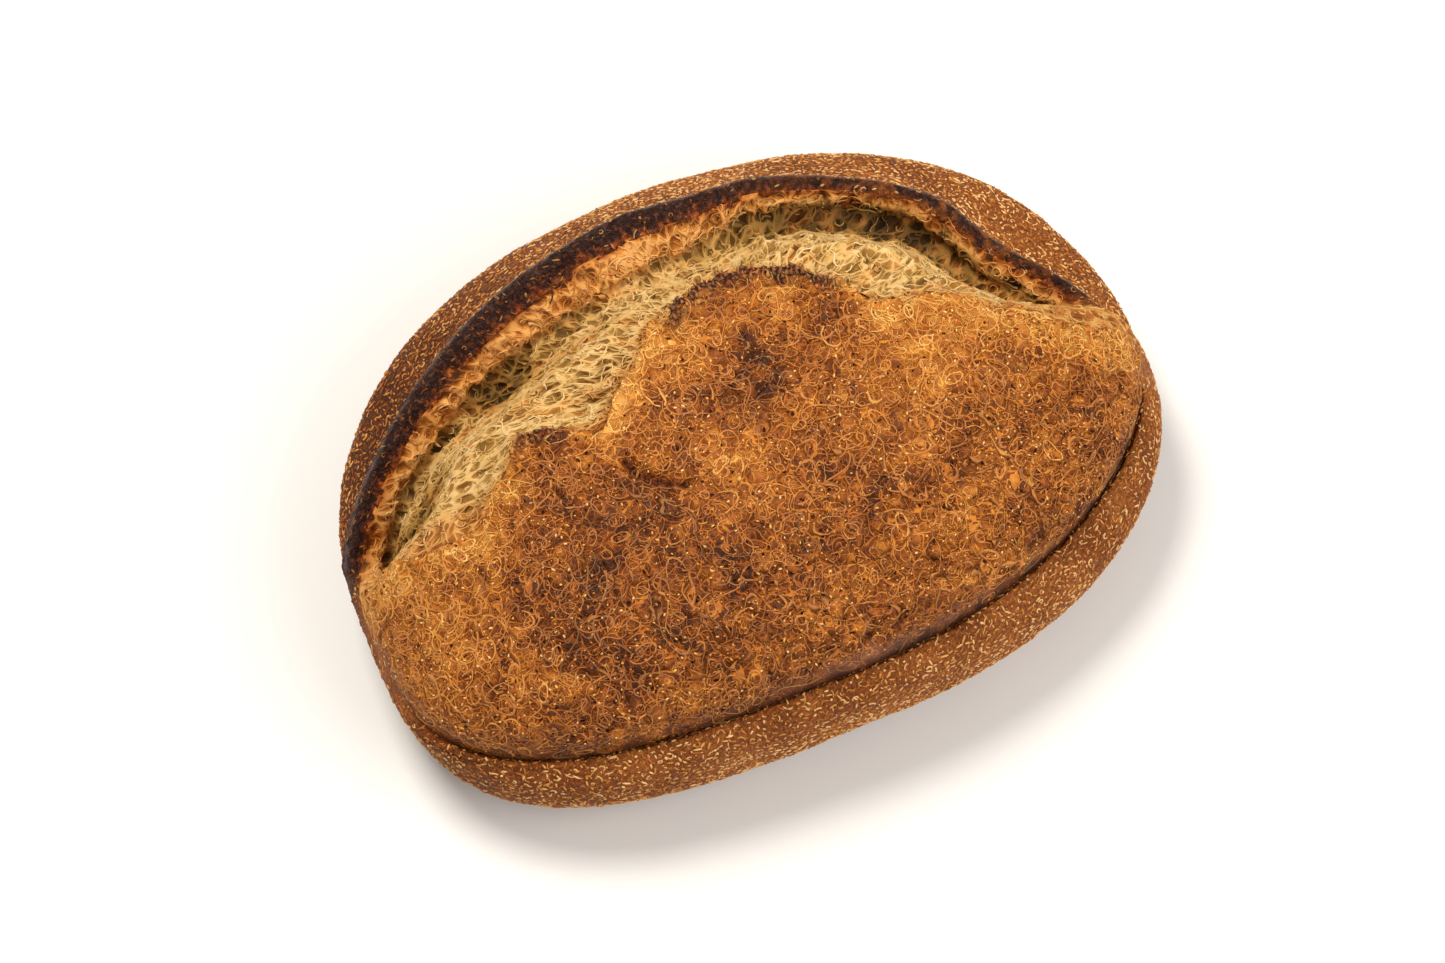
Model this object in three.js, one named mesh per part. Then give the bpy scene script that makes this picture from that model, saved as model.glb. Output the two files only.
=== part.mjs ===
// A family-size oval sourdough loaf, baked whole, with one long slash that opened into an ear.
// One solid: the shell (the floured crust of the sides and the underside), the ear along the
// back, the torn crumb below the ear and the golden bloom that swelled up out of the slash.
//
// Millimetres, +Z up. The loaf stands on its flat underside at z = 0, its length runs along X,
// the ear is on the +Y side and the origin lies under the middle of its plan.
//
// The skin is a loft around the crown, the top of the dome. An azimuth theta (degrees, 0 = +X,
// 90 = +Y) picks a section of the loaf, and a section runs from the crown down the bloom, over
// the rim (the ear, the crease in front, or plain skin at the two ends), down the side and
// under the heel to the middle of the underside.

import * as THREE from 'three';

// ---- driving dimensions -------------------------------------------------------------------

const LENGTH = 275;
const WIDTH = 199;
const HEIGHT = 96;
const WAIST_HEIGHT = 34; // the level where the loaf is widest
const BASE_SHARE = 0.8; // flat underside, as a share of the widest plan
const CROWN_X = 1.7; // the crown, from the middle of the plan
const CROWN_Y = -7.3;

// The widest plan, seen from above: four quarters of a superellipse around the crown.
const PLAN = {
  right: LENGTH / 2 - CROWN_X,
  back: WIDTH / 2 - CROWN_Y,
  left: LENGTH / 2 + CROWN_X,
  front: WIDTH / 2 + CROWN_Y,
  rightBack: 2.29,
  leftBack: 2.25,
  leftFront: 3.2,
  rightFront: 2.37,
};

// The rim, where shell and bloom meet: the lip of the ear at the back, the crease in front.
const RIM = {
  right: 132.6,
  back: 78,
  left: 140.5,
  front: 84,
  rightBack: 1.73,
  leftBack: 1.82,
  leftFront: 3,
  rightFront: 1.96,
};
const RIM_HEIGHT = { right: 48, back: 90.5, left: 40, front: 60 };
const RIM_MARGIN = 2; // the rim stays this far inside the widest plan
const RIM_SWINGS = [ // where the line of the ear swings in or out
  { azimuth: 3, spread: 4, reach: -2 },
  { azimuth: 12, spread: 12, reach: -17.5 },
  { azimuth: 13, spread: 6, reach: 3 },
  { azimuth: 26, spread: 6, reach: -1.5 },
  { azimuth: 86, spread: 13, reach: -3 },
  { azimuth: 138, spread: 20, reach: 3 },
];

// The ear is a burnt lip with a ragged fringe of crumb under it and a shallow hollow below that.
const EAR_ENDS = { start: -2, full: 5, fade: 173, end: 181 };
const TIP_RISE = 8; // how far the lip stands up at its right tip
const HOLLOW_DEPTH = 8;
const TORN_WIDTH = 30; // from the lip to where the crumb meets the dome
const LIP_THICKNESS = 5;
const FRINGE_WIDTH = 5;
const LIP_RAGGEDNESS = 0.9;
const FRINGE_RAGGEDNESS = 2.2;

// The crease is a shallow groove where the front edge of the slash stayed shut.
const CREASE_ENDS = { start: 186, full: 206, fade: 342, end: 356 };
const CREASE_DEPTH = 2.4;

// The browned crust of the bloom ends in a torn edge: distance in +Y from the crown, per X.
const CRUST_EDGE = [
  [-150, -16], [-128, 2], [-113, -2], [-97, -5], [-84, 6], [-73, 16], [-61, 13], [-50, 9],
  [-38, 20], [-20, 35], [-4, 40], [10, 41], [24, 36], [37, 27], [48, 15], [68, 13], [86, 3],
  [99, -6], [112, -13], [150, -14],
];
const CRUST_STEP = 0.8; // how far the crumb lies below the crust
const CRUST_FLAPS = [ // where the torn crust curls up in a jagged flap
  { from: -22, to: 40, lift: 3 },
  { from: -80, to: -56, lift: 2.2 },
];
const TEAR = { x: -28.5, y: -1, radius: 18.5, from: 186, to: 262, width: 2.2, depth: 3.4 };

// Large bubbles that burst in the crumb: oval pits, turned by an angle in degrees.
const CAVITIES = [
  { x: -69, y: 48, long: 12, wide: 5, turned: 14, depth: 5 },
  { x: -105, y: 22, long: 6, wide: 4, turned: 41, depth: 4.5 },
  { x: -118, y: 14, long: 9, wide: 5, turned: 10, depth: 4 },
];

// Between the ear and the bloom the crumb has sunk, most of all at two places along X.
const VALLEY = { depth: 3, fromEar: 12, fromCrust: 14 };
const VALLEY_LOWS = [
  { x: -80, spread: 42, depth: 5 },
  { x: 80, spread: 34, depth: 4.5 },
];

// ---- resolution of the loft ---------------------------------------------------------------

const AZIMUTHS = 122;
const BACK_CROWDING = 0.32; // sections stand closer together along the ear
const STEPS = { bloom: 18, rim: 18, side: 5, heel: 6, base: 1 };

// ---- small helpers ------------------------------------------------------------------------

const radians = THREE.MathUtils.degToRad;
const ease = THREE.MathUtils.smoothstep;
const mix = THREE.MathUtils.lerp;

function turn(azimuth) {
  return THREE.MathUtils.euclideanModulo(azimuth, 360);
}

function hump(azimuth, centre, spread) {
  const away = turn(azimuth - centre + 180) - 180;
  return Math.exp(-((away / spread) ** 2));
}

function lattice(i, j, seed) {
  const value = Math.sin(i * 127.1 + j * 311.7 + seed * 74.7) * 43758.5453;
  return value - Math.floor(value);
}

// Smooth noise between -1 and 1, with one lump per unit.
function noise(x, y, seed) {
  const i = Math.floor(x);
  const j = Math.floor(y);
  const u = ease(x - i, 0, 1);
  const v = ease(y - j, 0, 1);
  const near = mix(lattice(i, j, seed), lattice(i + 1, j, seed), u);
  const far = mix(lattice(i, j + 1, seed), lattice(i + 1, j + 1, seed), u);
  return 2 * mix(near, far, v) - 1;
}

// ---- the loaf seen from above -------------------------------------------------------------

function oval(azimuth, form) {
  const c = Math.cos(radians(azimuth));
  const s = Math.sin(radians(azimuth));
  const across = c >= 0 ? form.right : form.left;
  const along = s >= 0 ? form.back : form.front;
  const backward = c >= 0 ? form.rightBack : form.leftBack;
  const forward = c >= 0 ? form.rightFront : form.leftFront;
  const power = s >= 0 ? backward : forward;
  return (Math.abs(c / across) ** power + Math.abs(s / along) ** power) ** (-1 / power);
}

function rimRadius(azimuth) {
  const swing = (sum, part) => sum + part.reach * hump(azimuth, part.azimuth, part.spread);
  const swung = RIM_SWINGS.reduce(swing, oval(azimuth, RIM));
  return Math.min(swung, oval(azimuth, PLAN) - RIM_MARGIN);
}

function rimHeight(azimuth) {
  const s = Math.sin(radians(azimuth));
  const ends = mix(RIM_HEIGHT.left, RIM_HEIGHT.right, (1 + Math.cos(radians(azimuth))) / 2);
  const top = s >= 0 ? RIM_HEIGHT.back : RIM_HEIGHT.front;
  return mix(ends, top, Math.abs(s) ** 0.9);
}

function earStrength(azimuth) {
  const a = turn(azimuth + 90) - 90;
  return ease(a, EAR_ENDS.start, EAR_ENDS.full) * (1 - ease(a, EAR_ENDS.fade, EAR_ENDS.end));
}

function creaseStrength(azimuth) {
  const a = turn(azimuth);
  const opening = ease(a, CREASE_ENDS.start, CREASE_ENDS.full);
  return opening * (1 - ease(a, CREASE_ENDS.fade, CREASE_ENDS.end));
}

function crustEdge(x) {
  const k = CRUST_EDGE.findIndex(([edgeX]) => edgeX > x);
  const [x0, y0] = CRUST_EDGE[k - 1];
  const [x1, y1] = CRUST_EDGE[k];
  return mix(y0, y1, ease(x, x0, x1));
}

// ---- one section of the loaf --------------------------------------------------------------

// Height of the smooth dome at a distance from the crown; outside the rim the skin falls away.
function domeHeight(azimuth, radius) {
  const rim = rimRadius(azimuth);
  const foot = rimHeight(azimuth);
  if (radius > rim) return foot - 2.5 * (radius - rim);
  return foot + (HEIGHT - foot) * (1 - (radius / rim) ** 2.3) ** (1 / 2.1);
}

function lipHeight(azimuth) {
  return rimHeight(azimuth) + TIP_RISE * hump(azimuth, 5, 10);
}

function hollowDepth(azimuth) {
  return HOLLOW_DEPTH + 7.5 * hump(azimuth, 42, 34) - 2.5 * hump(azimuth, 5, 9);
}

function tornWidth(azimuth) {
  return TORN_WIDTH + 14 * hump(azimuth, 140, 28);
}

function lipThickness(azimuth) {
  return LIP_THICKNESS + 4.5 * hump(azimuth, 122, 42);
}

function fringeWidth(azimuth) {
  return FRINGE_WIDTH + 3 * hump(azimuth, 122, 40) - 2 * hump(azimuth, 48, 30);
}

function undercut(azimuth) {
  return 4.5 * hump(azimuth, 45, 26) + 1.5 * hump(azimuth, 145, 7);
}

// Across the rim a section passes ten points, given as (inset from the rim, height). The ear:
// outer skin, lip, jagged fringe, the wall of the hollow, its floor, and the crumb's slope.
function earPoints(azimuth) {
  const lip = lipHeight(azimuth);
  const depth = hollowDepth(azimuth);
  const under = undercut(azimuth);
  const ragged = LIP_RAGGEDNESS * noise(azimuth / 4, 0.5, 1);
  const fringe = FRINGE_RAGGEDNESS * noise(azimuth / 3.1, 2.5, 2);
  const edge = lipThickness(azimuth);
  const foot = edge + fringeWidth(azimuth);
  const floor = lip - depth;
  const torn = tornWidth(azimuth);
  const end = domeHeight(azimuth, rimRadius(azimuth) - torn);
  return [
    [-1.6, lip - 3.2],
    [0.2, lip - 0.4],
    [0.45 * edge, lip + 0.9 + ragged],
    [edge + 0.3 * fringe, lip + ragged - 0.12 * edge],
    [mix(edge, foot, 0.55) + 0.6 * fringe, lip - 0.34 * depth + 0.6 * fringe],
    [foot - 0.4 * under, lip - 0.66 * depth],
    [foot - under, lip - 0.9 * depth],
    [foot + 2.5, floor - 0.5],
    [mix(foot, torn, 0.55), mix(floor, end, 0.55)],
    [torn, end],
  ];
}

// Plain skin, at the two ends of the loaf, where shell and bloom run into each other.
function plainPoints(azimuth) {
  const rim = rimRadius(azimuth);
  const insets = [-1.6, 0.2, 1.2, 2.4, 3.6, 5.2, 7, 9, 14, 20];
  return insets.map((inset) => [inset, domeHeight(azimuth, rim - inset)]);
}

// The crease: the rounded top of the shell, the groove, and the bloom bulging up above it.
function creasePoints(azimuth) {
  const rim = rimRadius(azimuth);
  const foot = rimHeight(azimuth);
  const bloom = (inset, short) => [inset, domeHeight(azimuth, rim - inset) - short];
  return [
    [-2.6, foot - 1.6],
    [-0.6, foot - 0.9],
    [0.6, foot - CREASE_DEPTH],
    [1.1, foot + 0.5],
    bloom(2.2, 2),
    bloom(4, 0.6),
    bloom(6.4, 0),
    bloom(9, 0),
    bloom(14, 0),
    bloom(20, 0),
  ];
}

function rimPoints(azimuth) {
  const ear = earStrength(azimuth);
  const crease = creaseStrength(azimuth);
  const plain = 1 - ear - crease;
  const rim = rimRadius(azimuth);
  const lip = earPoints(azimuth);
  const groove = creasePoints(azimuth);
  return plainPoints(azimuth).map(([inset, height], i) => {
    const d = plain * inset + ear * lip[i][0] + crease * groove[i][0];
    const z = plain * height + ear * lip[i][1] + crease * groove[i][1];
    return new THREE.Vector2(rim - d, z);
  });
}

function rimCurve(azimuth) {
  const points = rimPoints(azimuth);
  return new THREE.SplineCurve(points);
}

// From the waist up to the rim the shell is one Bezier arc; it leaves the waist upright and
// meets the rim leaning inwards.
function sideCurve(azimuth) {
  const [top] = rimPoints(azimuth);
  const waist = new THREE.Vector2(oval(azimuth, PLAN), WAIST_HEIGHT);
  const lean = radians(58 + 6 * earStrength(azimuth) - 10 * creaseStrength(azimuth));
  const reach = 0.36 * top.distanceTo(waist);
  const upright = new THREE.Vector2(waist.x, mix(waist.y, top.y, 0.45));
  const shoulder = new THREE.Vector2(top.x + reach * Math.cos(lean), top.y - reach * Math.sin(lean));
  return new THREE.CubicBezierCurve(top, shoulder, upright, waist);
}

// The heel is a quarter ellipse from the waist in to the flat underside.
function heelPoint(azimuth, t) {
  const plan = oval(azimuth, PLAN);
  const angle = (t * Math.PI) / 2;
  const share = mix(BASE_SHARE, 1, Math.cos(angle));
  return new THREE.Vector2(plan * share, WAIST_HEIGHT * (1 - Math.sin(angle)));
}

function basePoint(azimuth, t) {
  return new THREE.Vector2(oval(azimuth, PLAN) * BASE_SHARE * (1 - t), 0);
}

// A section as points (distance from the crown's axis, height), from the crown to the middle
// of the underside.
function section(azimuth) {
  const rim = rimCurve(azimuth);
  const side = sideCurve(azimuth);
  const inner = rim.getPoint(1);
  const points = [];
  for (let i = 0; i < STEPS.bloom; i += 1) {
    const radius = (inner.x * i) / STEPS.bloom;
    points.push(new THREE.Vector2(radius, domeHeight(azimuth, radius)));
  }
  for (let i = 0; i < STEPS.rim; i += 1) points.push(rim.getPoint(1 - i / STEPS.rim));
  for (let i = 0; i < STEPS.side; i += 1) points.push(side.getPoint(i / STEPS.side));
  for (let i = 0; i < STEPS.heel; i += 1) points.push(heelPoint(azimuth, i / STEPS.heel));
  for (let i = 0; i <= STEPS.base; i += 1) points.push(basePoint(azimuth, i / STEPS.base));
  return points;
}

// ---- relief -------------------------------------------------------------------------------

// Slow swellings of the whole dome, a few millimetres high.
function swell(x, y) {
  return 1.1 * noise(x / 34, y / 27, 3) + 0.7 * noise(x / 13, y / 11, 4);
}

function cavity(spot, x, y) {
  const c = Math.cos(radians(spot.turned));
  const s = Math.sin(radians(spot.turned));
  const u = (c * (x - spot.x) + s * (y - spot.y)) / spot.long;
  const v = (c * (y - spot.y) - s * (x - spot.x)) / spot.wide;
  return spot.depth * Math.exp(-(u * u + v * v));
}

// The open crumb: pits and ragged walls below the ear, and the large burst bubbles.
function crumbRelief(x, y) {
  const foam = 1.3 * noise(x / 5, y / 5, 6) - 2.4 * Math.max(noise(x / 9, y / 7, 5), 0);
  return CAVITIES.reduce((height, spot) => height - cavity(spot, x, y), foam);
}

function valley(azimuth, inset, x, y) {
  const foot = lipThickness(azimuth) + fringeWidth(azimuth);
  const low = (sum, spot) => sum + spot.depth * Math.exp(-(((x - spot.x) / spot.spread) ** 2));
  const depth = VALLEY_LOWS.reduce(low, VALLEY.depth);
  const fromCrust = ease(y - crustEdge(x), -2, VALLEY.fromCrust);
  return earStrength(azimuth) * depth * ease(inset, foot, foot + VALLEY.fromEar) * fromCrust;
}

function crustRelief(x, y) {
  const inside = crustEdge(x) + 1.6 * noise(x / 6, 0.5, 7) - y;
  let height = -CRUST_STEP * (1 - ease(inside, -4, 0));
  for (const flap of CRUST_FLAPS) {
    const along = ease(x, flap.from, flap.from + 8) * (1 - ease(x, flap.to - 8, flap.to));
    const curl = ease(inside, -3, 1) * (1 - ease(inside, 2, 12));
    height += along * flap.lift * (curl - 0.5 * (1 - ease(inside, -3, 0)));
  }
  return height;
}

function tearRelief(x, y) {
  const dx = x - TEAR.x;
  const dy = y - TEAR.y;
  const azimuth = turn(THREE.MathUtils.radToDeg(Math.atan2(dy, dx)));
  const opening = ease(azimuth, TEAR.from - 8, TEAR.from + 8);
  const along = opening * (1 - ease(azimuth, TEAR.to - 8, TEAR.to + 8));
  const off = (Math.hypot(dx, dy) - TEAR.radius) / TEAR.width;
  return -TEAR.depth * along * Math.exp(-off * off);
}

// Height to add to the bloom and the crumb at a point of the plan, around the crown.
function topRelief(azimuth, inset, x, y) {
  const onTop = ease(inset, 6, 18);
  const crumb = earStrength(azimuth) * ease(inset, 9, 14) * ease(y - crustEdge(x), -2, 4);
  const broad = swell(x, y) + crustRelief(x, y) + tearRelief(x, y);
  return onTop * broad + crumb * crumbRelief(x, y) - valley(azimuth, inset, x, y);
}

// Distance to add to the shell, which is smooth and only slightly uneven.
function shellRelief(azimuth, z) {
  const fade = ease(z, 4, 18);
  return fade * 0.8 * noise(azimuth / 15, z / 22, 8) - 0.8 * fade;
}

// ---- the solid ----------------------------------------------------------------------------

// Azimuths spread evenly around an oval of the loaf's proportions, closer together at the back.
function azimuthOf(column) {
  const even = (2 * Math.PI * column) / AZIMUTHS;
  const crowded = even + BACK_CROWDING * Math.cos(even);
  return THREE.MathUtils.radToDeg(Math.atan2(WIDTH * Math.sin(crowded), LENGTH * Math.cos(crowded)));
}

// Relief lifts the bloom and the crumb, and swells the shell outwards.
function topPoint(azimuth, point) {
  const x = point.x * Math.cos(radians(azimuth));
  const y = point.x * Math.sin(radians(azimuth));
  const lift = topRelief(azimuth, rimRadius(azimuth) - point.x, x, y);
  return new THREE.Vector3(x + CROWN_X, y + CROWN_Y, point.y + lift);
}

function shellPoint(azimuth, point) {
  const radius = point.x + shellRelief(azimuth, point.y);
  const x = radius * Math.cos(radians(azimuth));
  const y = radius * Math.sin(radians(azimuth));
  return new THREE.Vector3(x + CROWN_X, y + CROWN_Y, point.y);
}

// Sets the loaf on z = 0 with the origin under the middle of its plan.
function settle(geometry) {
  geometry.computeBoundingBox();
  const { min, max } = geometry.boundingBox;
  geometry.translate(-(min.x + max.x) / 2, -(min.y + max.y) / 2, -min.z);
}

function loafGeometry() {
  const topRows = STEPS.bloom + STEPS.rim;
  const rows = topRows + STEPS.side + STEPS.heel + STEPS.base;
  const geometry = new THREE.SphereGeometry(1, AZIMUTHS, rows);
  const position = geometry.getAttribute('position');
  for (let column = 0; column <= AZIMUTHS; column += 1) {
    const azimuth = azimuthOf(column % AZIMUTHS);
    const outline = section(azimuth);
    for (let row = 0; row <= rows; row += 1) {
      const place = row < topRows ? topPoint : shellPoint;
      const { x, y, z } = place(azimuth, outline[row]);
      position.setXYZ(row * (AZIMUTHS + 1) + column, x, y, z);
    }
  }
  settle(geometry);
  geometry.computeVertexNormals();
  return geometry;
}

function crustMaterial() {
  return new THREE.MeshStandardMaterial({ color: 0xb5702f, roughness: 0.7, metalness: 0 });
}

const loaf = new THREE.Mesh(loafGeometry(), crustMaterial());
loaf.name = 'loaf';

const model = new THREE.Group();
model.add(loaf);

export default model;
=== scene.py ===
# %% [markdown]
# A family-size sourdough loaf, baked whole. One long slash opened in the oven: behind it the crust
# curled up into an ear, below the ear the crumb tore open, and in front of it the dough swelled
# into a golden bloom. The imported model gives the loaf's place and size. This lesson dresses it:
# the loaf's form is written once as plain formulas, each part of the skin becomes a fine mesh from
# them, and Geometry Nodes and materials add the blisters, curls and crumbs that make it bread.

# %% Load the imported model
import math

import bpy
import numpy as np
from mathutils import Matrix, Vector


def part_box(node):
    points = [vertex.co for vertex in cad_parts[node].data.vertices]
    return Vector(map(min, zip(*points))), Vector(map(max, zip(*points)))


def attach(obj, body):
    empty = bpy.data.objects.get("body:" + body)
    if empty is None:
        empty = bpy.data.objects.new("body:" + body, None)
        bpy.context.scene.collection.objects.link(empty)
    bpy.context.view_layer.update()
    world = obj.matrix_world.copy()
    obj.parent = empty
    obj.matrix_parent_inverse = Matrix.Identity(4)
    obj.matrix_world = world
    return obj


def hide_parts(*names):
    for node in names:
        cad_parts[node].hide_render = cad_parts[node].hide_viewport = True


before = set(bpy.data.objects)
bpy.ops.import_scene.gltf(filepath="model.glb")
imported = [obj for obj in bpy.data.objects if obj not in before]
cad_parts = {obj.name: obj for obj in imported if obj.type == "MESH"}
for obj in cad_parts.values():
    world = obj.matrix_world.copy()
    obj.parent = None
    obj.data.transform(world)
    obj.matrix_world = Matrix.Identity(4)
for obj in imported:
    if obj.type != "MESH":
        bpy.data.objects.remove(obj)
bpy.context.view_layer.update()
MM = 0.001
loaf_low, loaf_high = (np.array(corner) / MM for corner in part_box("loaf"))
print("loaf in mm:", (loaf_high - loaf_low).round(1))

# %% [markdown]
# Everything below is worked out in millimetres, the unit a baker's ruler has, and turned into
# metres only where a mesh is made. The loaf is described around its crown, the top of the dome: an
# azimuth in degrees (0 is the right end, 90 the ear's side) picks a section, and a section runs
# from the crown down the bloom, over the rim, down the side and under the heel.

# %% Sizes of the loaf
LENGTH = 275
WIDTH = 199
HEIGHT = 96
WAIST_HEIGHT = 34
BASE_SHARE = 0.8  # radius of the flat underside, as a share of the waist's
CROWN = np.array([1.7, -7.3])  # x and y of the dome's top

PLAN = {"right": LENGTH / 2 - CROWN[0], "back": WIDTH / 2 - CROWN[1],
        "left": LENGTH / 2 + CROWN[0], "front": WIDTH / 2 + CROWN[1],
        "powers": (2.29, 2.25, 3.2, 2.37)}
RIM = {"right": 132.6, "back": 78, "left": 140.5, "front": 84, "powers": (1.73, 1.82, 3, 1.96)}
RIM_HEIGHT = {"right": 48, "back": 90.5, "left": 40, "front": 60}
RIM_SWINGS = (  # where the ear's line swings in or out: azimuth, spread, reach
    (3, 4, -2), (12, 12, -17.5), (13, 6, 3), (26, 6, -1.5), (86, 13, -3), (138, 20, 3))
RIM_MARGIN = 2  # the rim stays at least this far inside the waist
HOLLOW_DEPTH = 8
TORN_WIDTH = 30
LIP_THICKNESS = 5
FRINGE_WIDTH = 5
TIP_RISE = 8  # of the ear's lip at its right tip
CREASE_DEPTH = 2.4

CRUST_EDGE = np.array([  # torn edge of the bloom's crust, x and y from the crown
    (-150, -16), (-128, 2), (-113, -2), (-97, -5), (-84, 6), (-73, 16), (-61, 13), (-50, 9),
    (-38, 20), (-20, 35), (-4, 40), (10, 41), (24, 36), (37, 27), (48, 15), (68, 13), (86, 3),
    (99, -6), (112, -13), (150, -14)])
CRUST_STEP = 0.8
CRUST_FLAPS = ((-22, 40, 3), (-80, -56, 2.2))  # from x, to x, how high the torn crust curls up
CAVITIES = (  # burst bubbles in the crumb: x, y, two radii, turn, depth
    (-69, 48, 12, 5, 14, 5), (-105, 22, 6, 4, 41, 4.5), (-118, 14, 9, 5, 10, 4))
TEAR = {"centre": (-28.5, -1), "radius": 18.5, "from": 186, "to": 262, "width": 2.2, "depth": 3.4}


# %% [markdown]
# Soft steps, humps around an azimuth and smooth lumpy noise are the whole toolbox for the form.
# The noise takes its lattice values from a formula, so that the loaf comes out the same on every
# run.

# %% Small tools for the form
def ease(x, low, high):
    t = np.clip((x - low) / (high - low), 0, 1)
    return t * t * (3 - 2 * t)


def mix(a, b, share):
    return a + (b - a) * share


def hump(azimuth, centre, spread):
    away = (azimuth - centre + 180) % 360 - 180
    return np.exp(-(away / spread) ** 2)


def between(x, start, stop, soft):
    """1 between start and stop, fading to 0 at both over the width soft."""
    return ease(x, start, start + soft) * (1 - ease(x, stop - soft, stop))


def from_crown(azimuth, radius):
    """x and y of a place in the plan, counted from the crown."""
    return radius * np.cos(np.radians(azimuth)), radius * np.sin(np.radians(azimuth))


def to_crown(x, y):
    """Azimuth and radius of a place in the plan."""
    return np.degrees(np.arctan2(y, x)) % 360, np.hypot(x, y)


def walked(*lines):
    """Distance walked down the rows of one or two coordinates."""
    steps = np.sqrt(sum(np.diff(line, axis=0) ** 2 for line in lines))
    return np.concatenate([0 * steps[:1], np.cumsum(steps, axis=0)])


def lattice(i, j, seed):
    value = np.sin(i * 127.1 + j * 311.7 + seed * 74.7) * 43758.5453
    return value - np.floor(value)


def noise(x, y, seed):
    x, y = np.broadcast_arrays(np.asarray(x, float), np.asarray(y, float))
    i, j = np.floor(x), np.floor(y)
    u, v = ease(x - i, 0, 1), ease(y - j, 0, 1)
    near = mix(lattice(i, j, seed), lattice(i + 1, j, seed), u)
    far = mix(lattice(i, j + 1, seed), lattice(i + 1, j + 1, seed), u)
    return 2 * mix(near, far, v) - 1


def rough(x, y, seed, octaves=3):
    total = 0
    for k in range(octaves):
        total = total + noise(x * 2 ** k, y * 2 ** k, seed + 17 * k) / 2 ** k
    return total


# %% [markdown]
# Seen from above, the loaf's waist and its rim are ovals made of four quarters of a superellipse:
# a power of 2 gives an ellipse, and a higher one fuller corners. The rim is the lip of the ear at
# the back, a shut crease in front and plain skin at the two ends, so every section is a blend of
# three.

# %% The loaf's ovals, its rim and its dome
def oval(azimuth, form):
    c, s = np.cos(np.radians(azimuth)), np.sin(np.radians(azimuth))
    across = np.where(c >= 0, form["right"], form["left"])
    along = np.where(s >= 0, form["back"], form["front"])
    right_back, left_back, left_front, right_front = form["powers"]
    power = np.where(s >= 0, np.where(c >= 0, right_back, left_back),
                     np.where(c >= 0, right_front, left_front))
    return (np.abs(c / across) ** power + np.abs(s / along) ** power) ** (-1 / power)


def rim_radius(azimuth):
    swung = oval(azimuth, RIM)
    for centre, spread, reach in RIM_SWINGS:
        swung = swung + reach * hump(azimuth, centre, spread)
    return np.minimum(swung, oval(azimuth, PLAN) - RIM_MARGIN)


def rim_height(azimuth):
    s = np.sin(np.radians(azimuth))
    ends = mix(RIM_HEIGHT["left"], RIM_HEIGHT["right"], (1 + np.cos(np.radians(azimuth))) / 2)
    top = np.where(s >= 0, RIM_HEIGHT["back"], RIM_HEIGHT["front"])
    return mix(ends, top, np.abs(s) ** 0.9)


def ear_strength(azimuth):
    a = (azimuth + 90) % 360 - 90
    return ease(a, -2, 5) * (1 - ease(a, 173, 181))


def crease_strength(azimuth):
    a = azimuth % 360
    return ease(a, 186, 206) * (1 - ease(a, 342, 356))


def crust_edge(x):
    k = np.clip(np.searchsorted(CRUST_EDGE[:, 0], x, side="right"), 1, len(CRUST_EDGE) - 1)
    (x0, y0), (x1, y1) = np.moveaxis(CRUST_EDGE[k - 1], -1, 0), np.moveaxis(CRUST_EDGE[k], -1, 0)
    return mix(y0, y1, ease(x, x0, x1))


def dome_height(azimuth, radius):
    rim, foot = rim_radius(azimuth), rim_height(azimuth)
    inside = np.clip(radius / rim, 0, 1)
    dome = foot + (HEIGHT - foot) * (1 - inside ** 2.3) ** (1 / 2.1)
    return np.where(radius > rim, foot - 2.5 * (radius - rim), dome)


# %% [markdown]
# Across the rim each section passes ten points, given as a distance in from the rim and a height.
# The ear's ten go over the lip, down a ragged fringe and the wall of the hollow, along its floor
# and up the torn slope. A smooth spline joins them, so the lip stays round and the hollow
# undercut.

# %% Sections across the rim
def hollow_depth(azimuth):
    return HOLLOW_DEPTH + 7.5 * hump(azimuth, 42, 34) - 2.5 * hump(azimuth, 5, 9)


def torn_width(azimuth):
    return TORN_WIDTH + 14 * hump(azimuth, 140, 28)


def lip_thickness(azimuth):
    return LIP_THICKNESS + 4.5 * hump(azimuth, 122, 42)


def fringe_width(azimuth):
    return FRINGE_WIDTH + 3 * hump(azimuth, 122, 40) - 2 * hump(azimuth, 48, 30)


def undercut(azimuth):
    return 4.5 * hump(azimuth, 45, 26) + 1.5 * hump(azimuth, 145, 7)


def lip_height(azimuth):
    return rim_height(azimuth) + TIP_RISE * hump(azimuth, 5, 10)


def ear_points(azimuth):
    lip, depth, under = lip_height(azimuth), hollow_depth(azimuth), undercut(azimuth)
    ragged = 0.9 * noise(azimuth / 4, 0.5, 1)
    fringe = 2.2 * noise(azimuth / 3.1, 2.5, 2)
    edge = lip_thickness(azimuth)
    foot = edge + fringe_width(azimuth)
    floor = lip - depth
    torn = torn_width(azimuth)
    end = dome_height(azimuth, rim_radius(azimuth) - torn)
    return [(-1.6, lip - 3.2), (0.2, lip - 0.4), (0.45 * edge, lip + 0.9 + ragged),
            (edge + 0.3 * fringe, lip + ragged - 0.12 * edge),
            (mix(edge, foot, 0.55) + 0.6 * fringe, lip - 0.34 * depth + 0.6 * fringe),
            (foot - 0.4 * under, lip - 0.66 * depth), (foot - under, lip - 0.9 * depth),
            (foot + 2.5, floor - 0.5), (mix(foot, torn, 0.55), mix(floor, end, 0.55)),
            (torn, end)]


def plain_points(azimuth):
    rim = rim_radius(azimuth)
    insets = (-1.6, 0.2, 1.2, 2.4, 3.6, 5.2, 7, 9, 14, 20)
    return [(inset, dome_height(azimuth, rim - inset)) for inset in insets]


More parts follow.
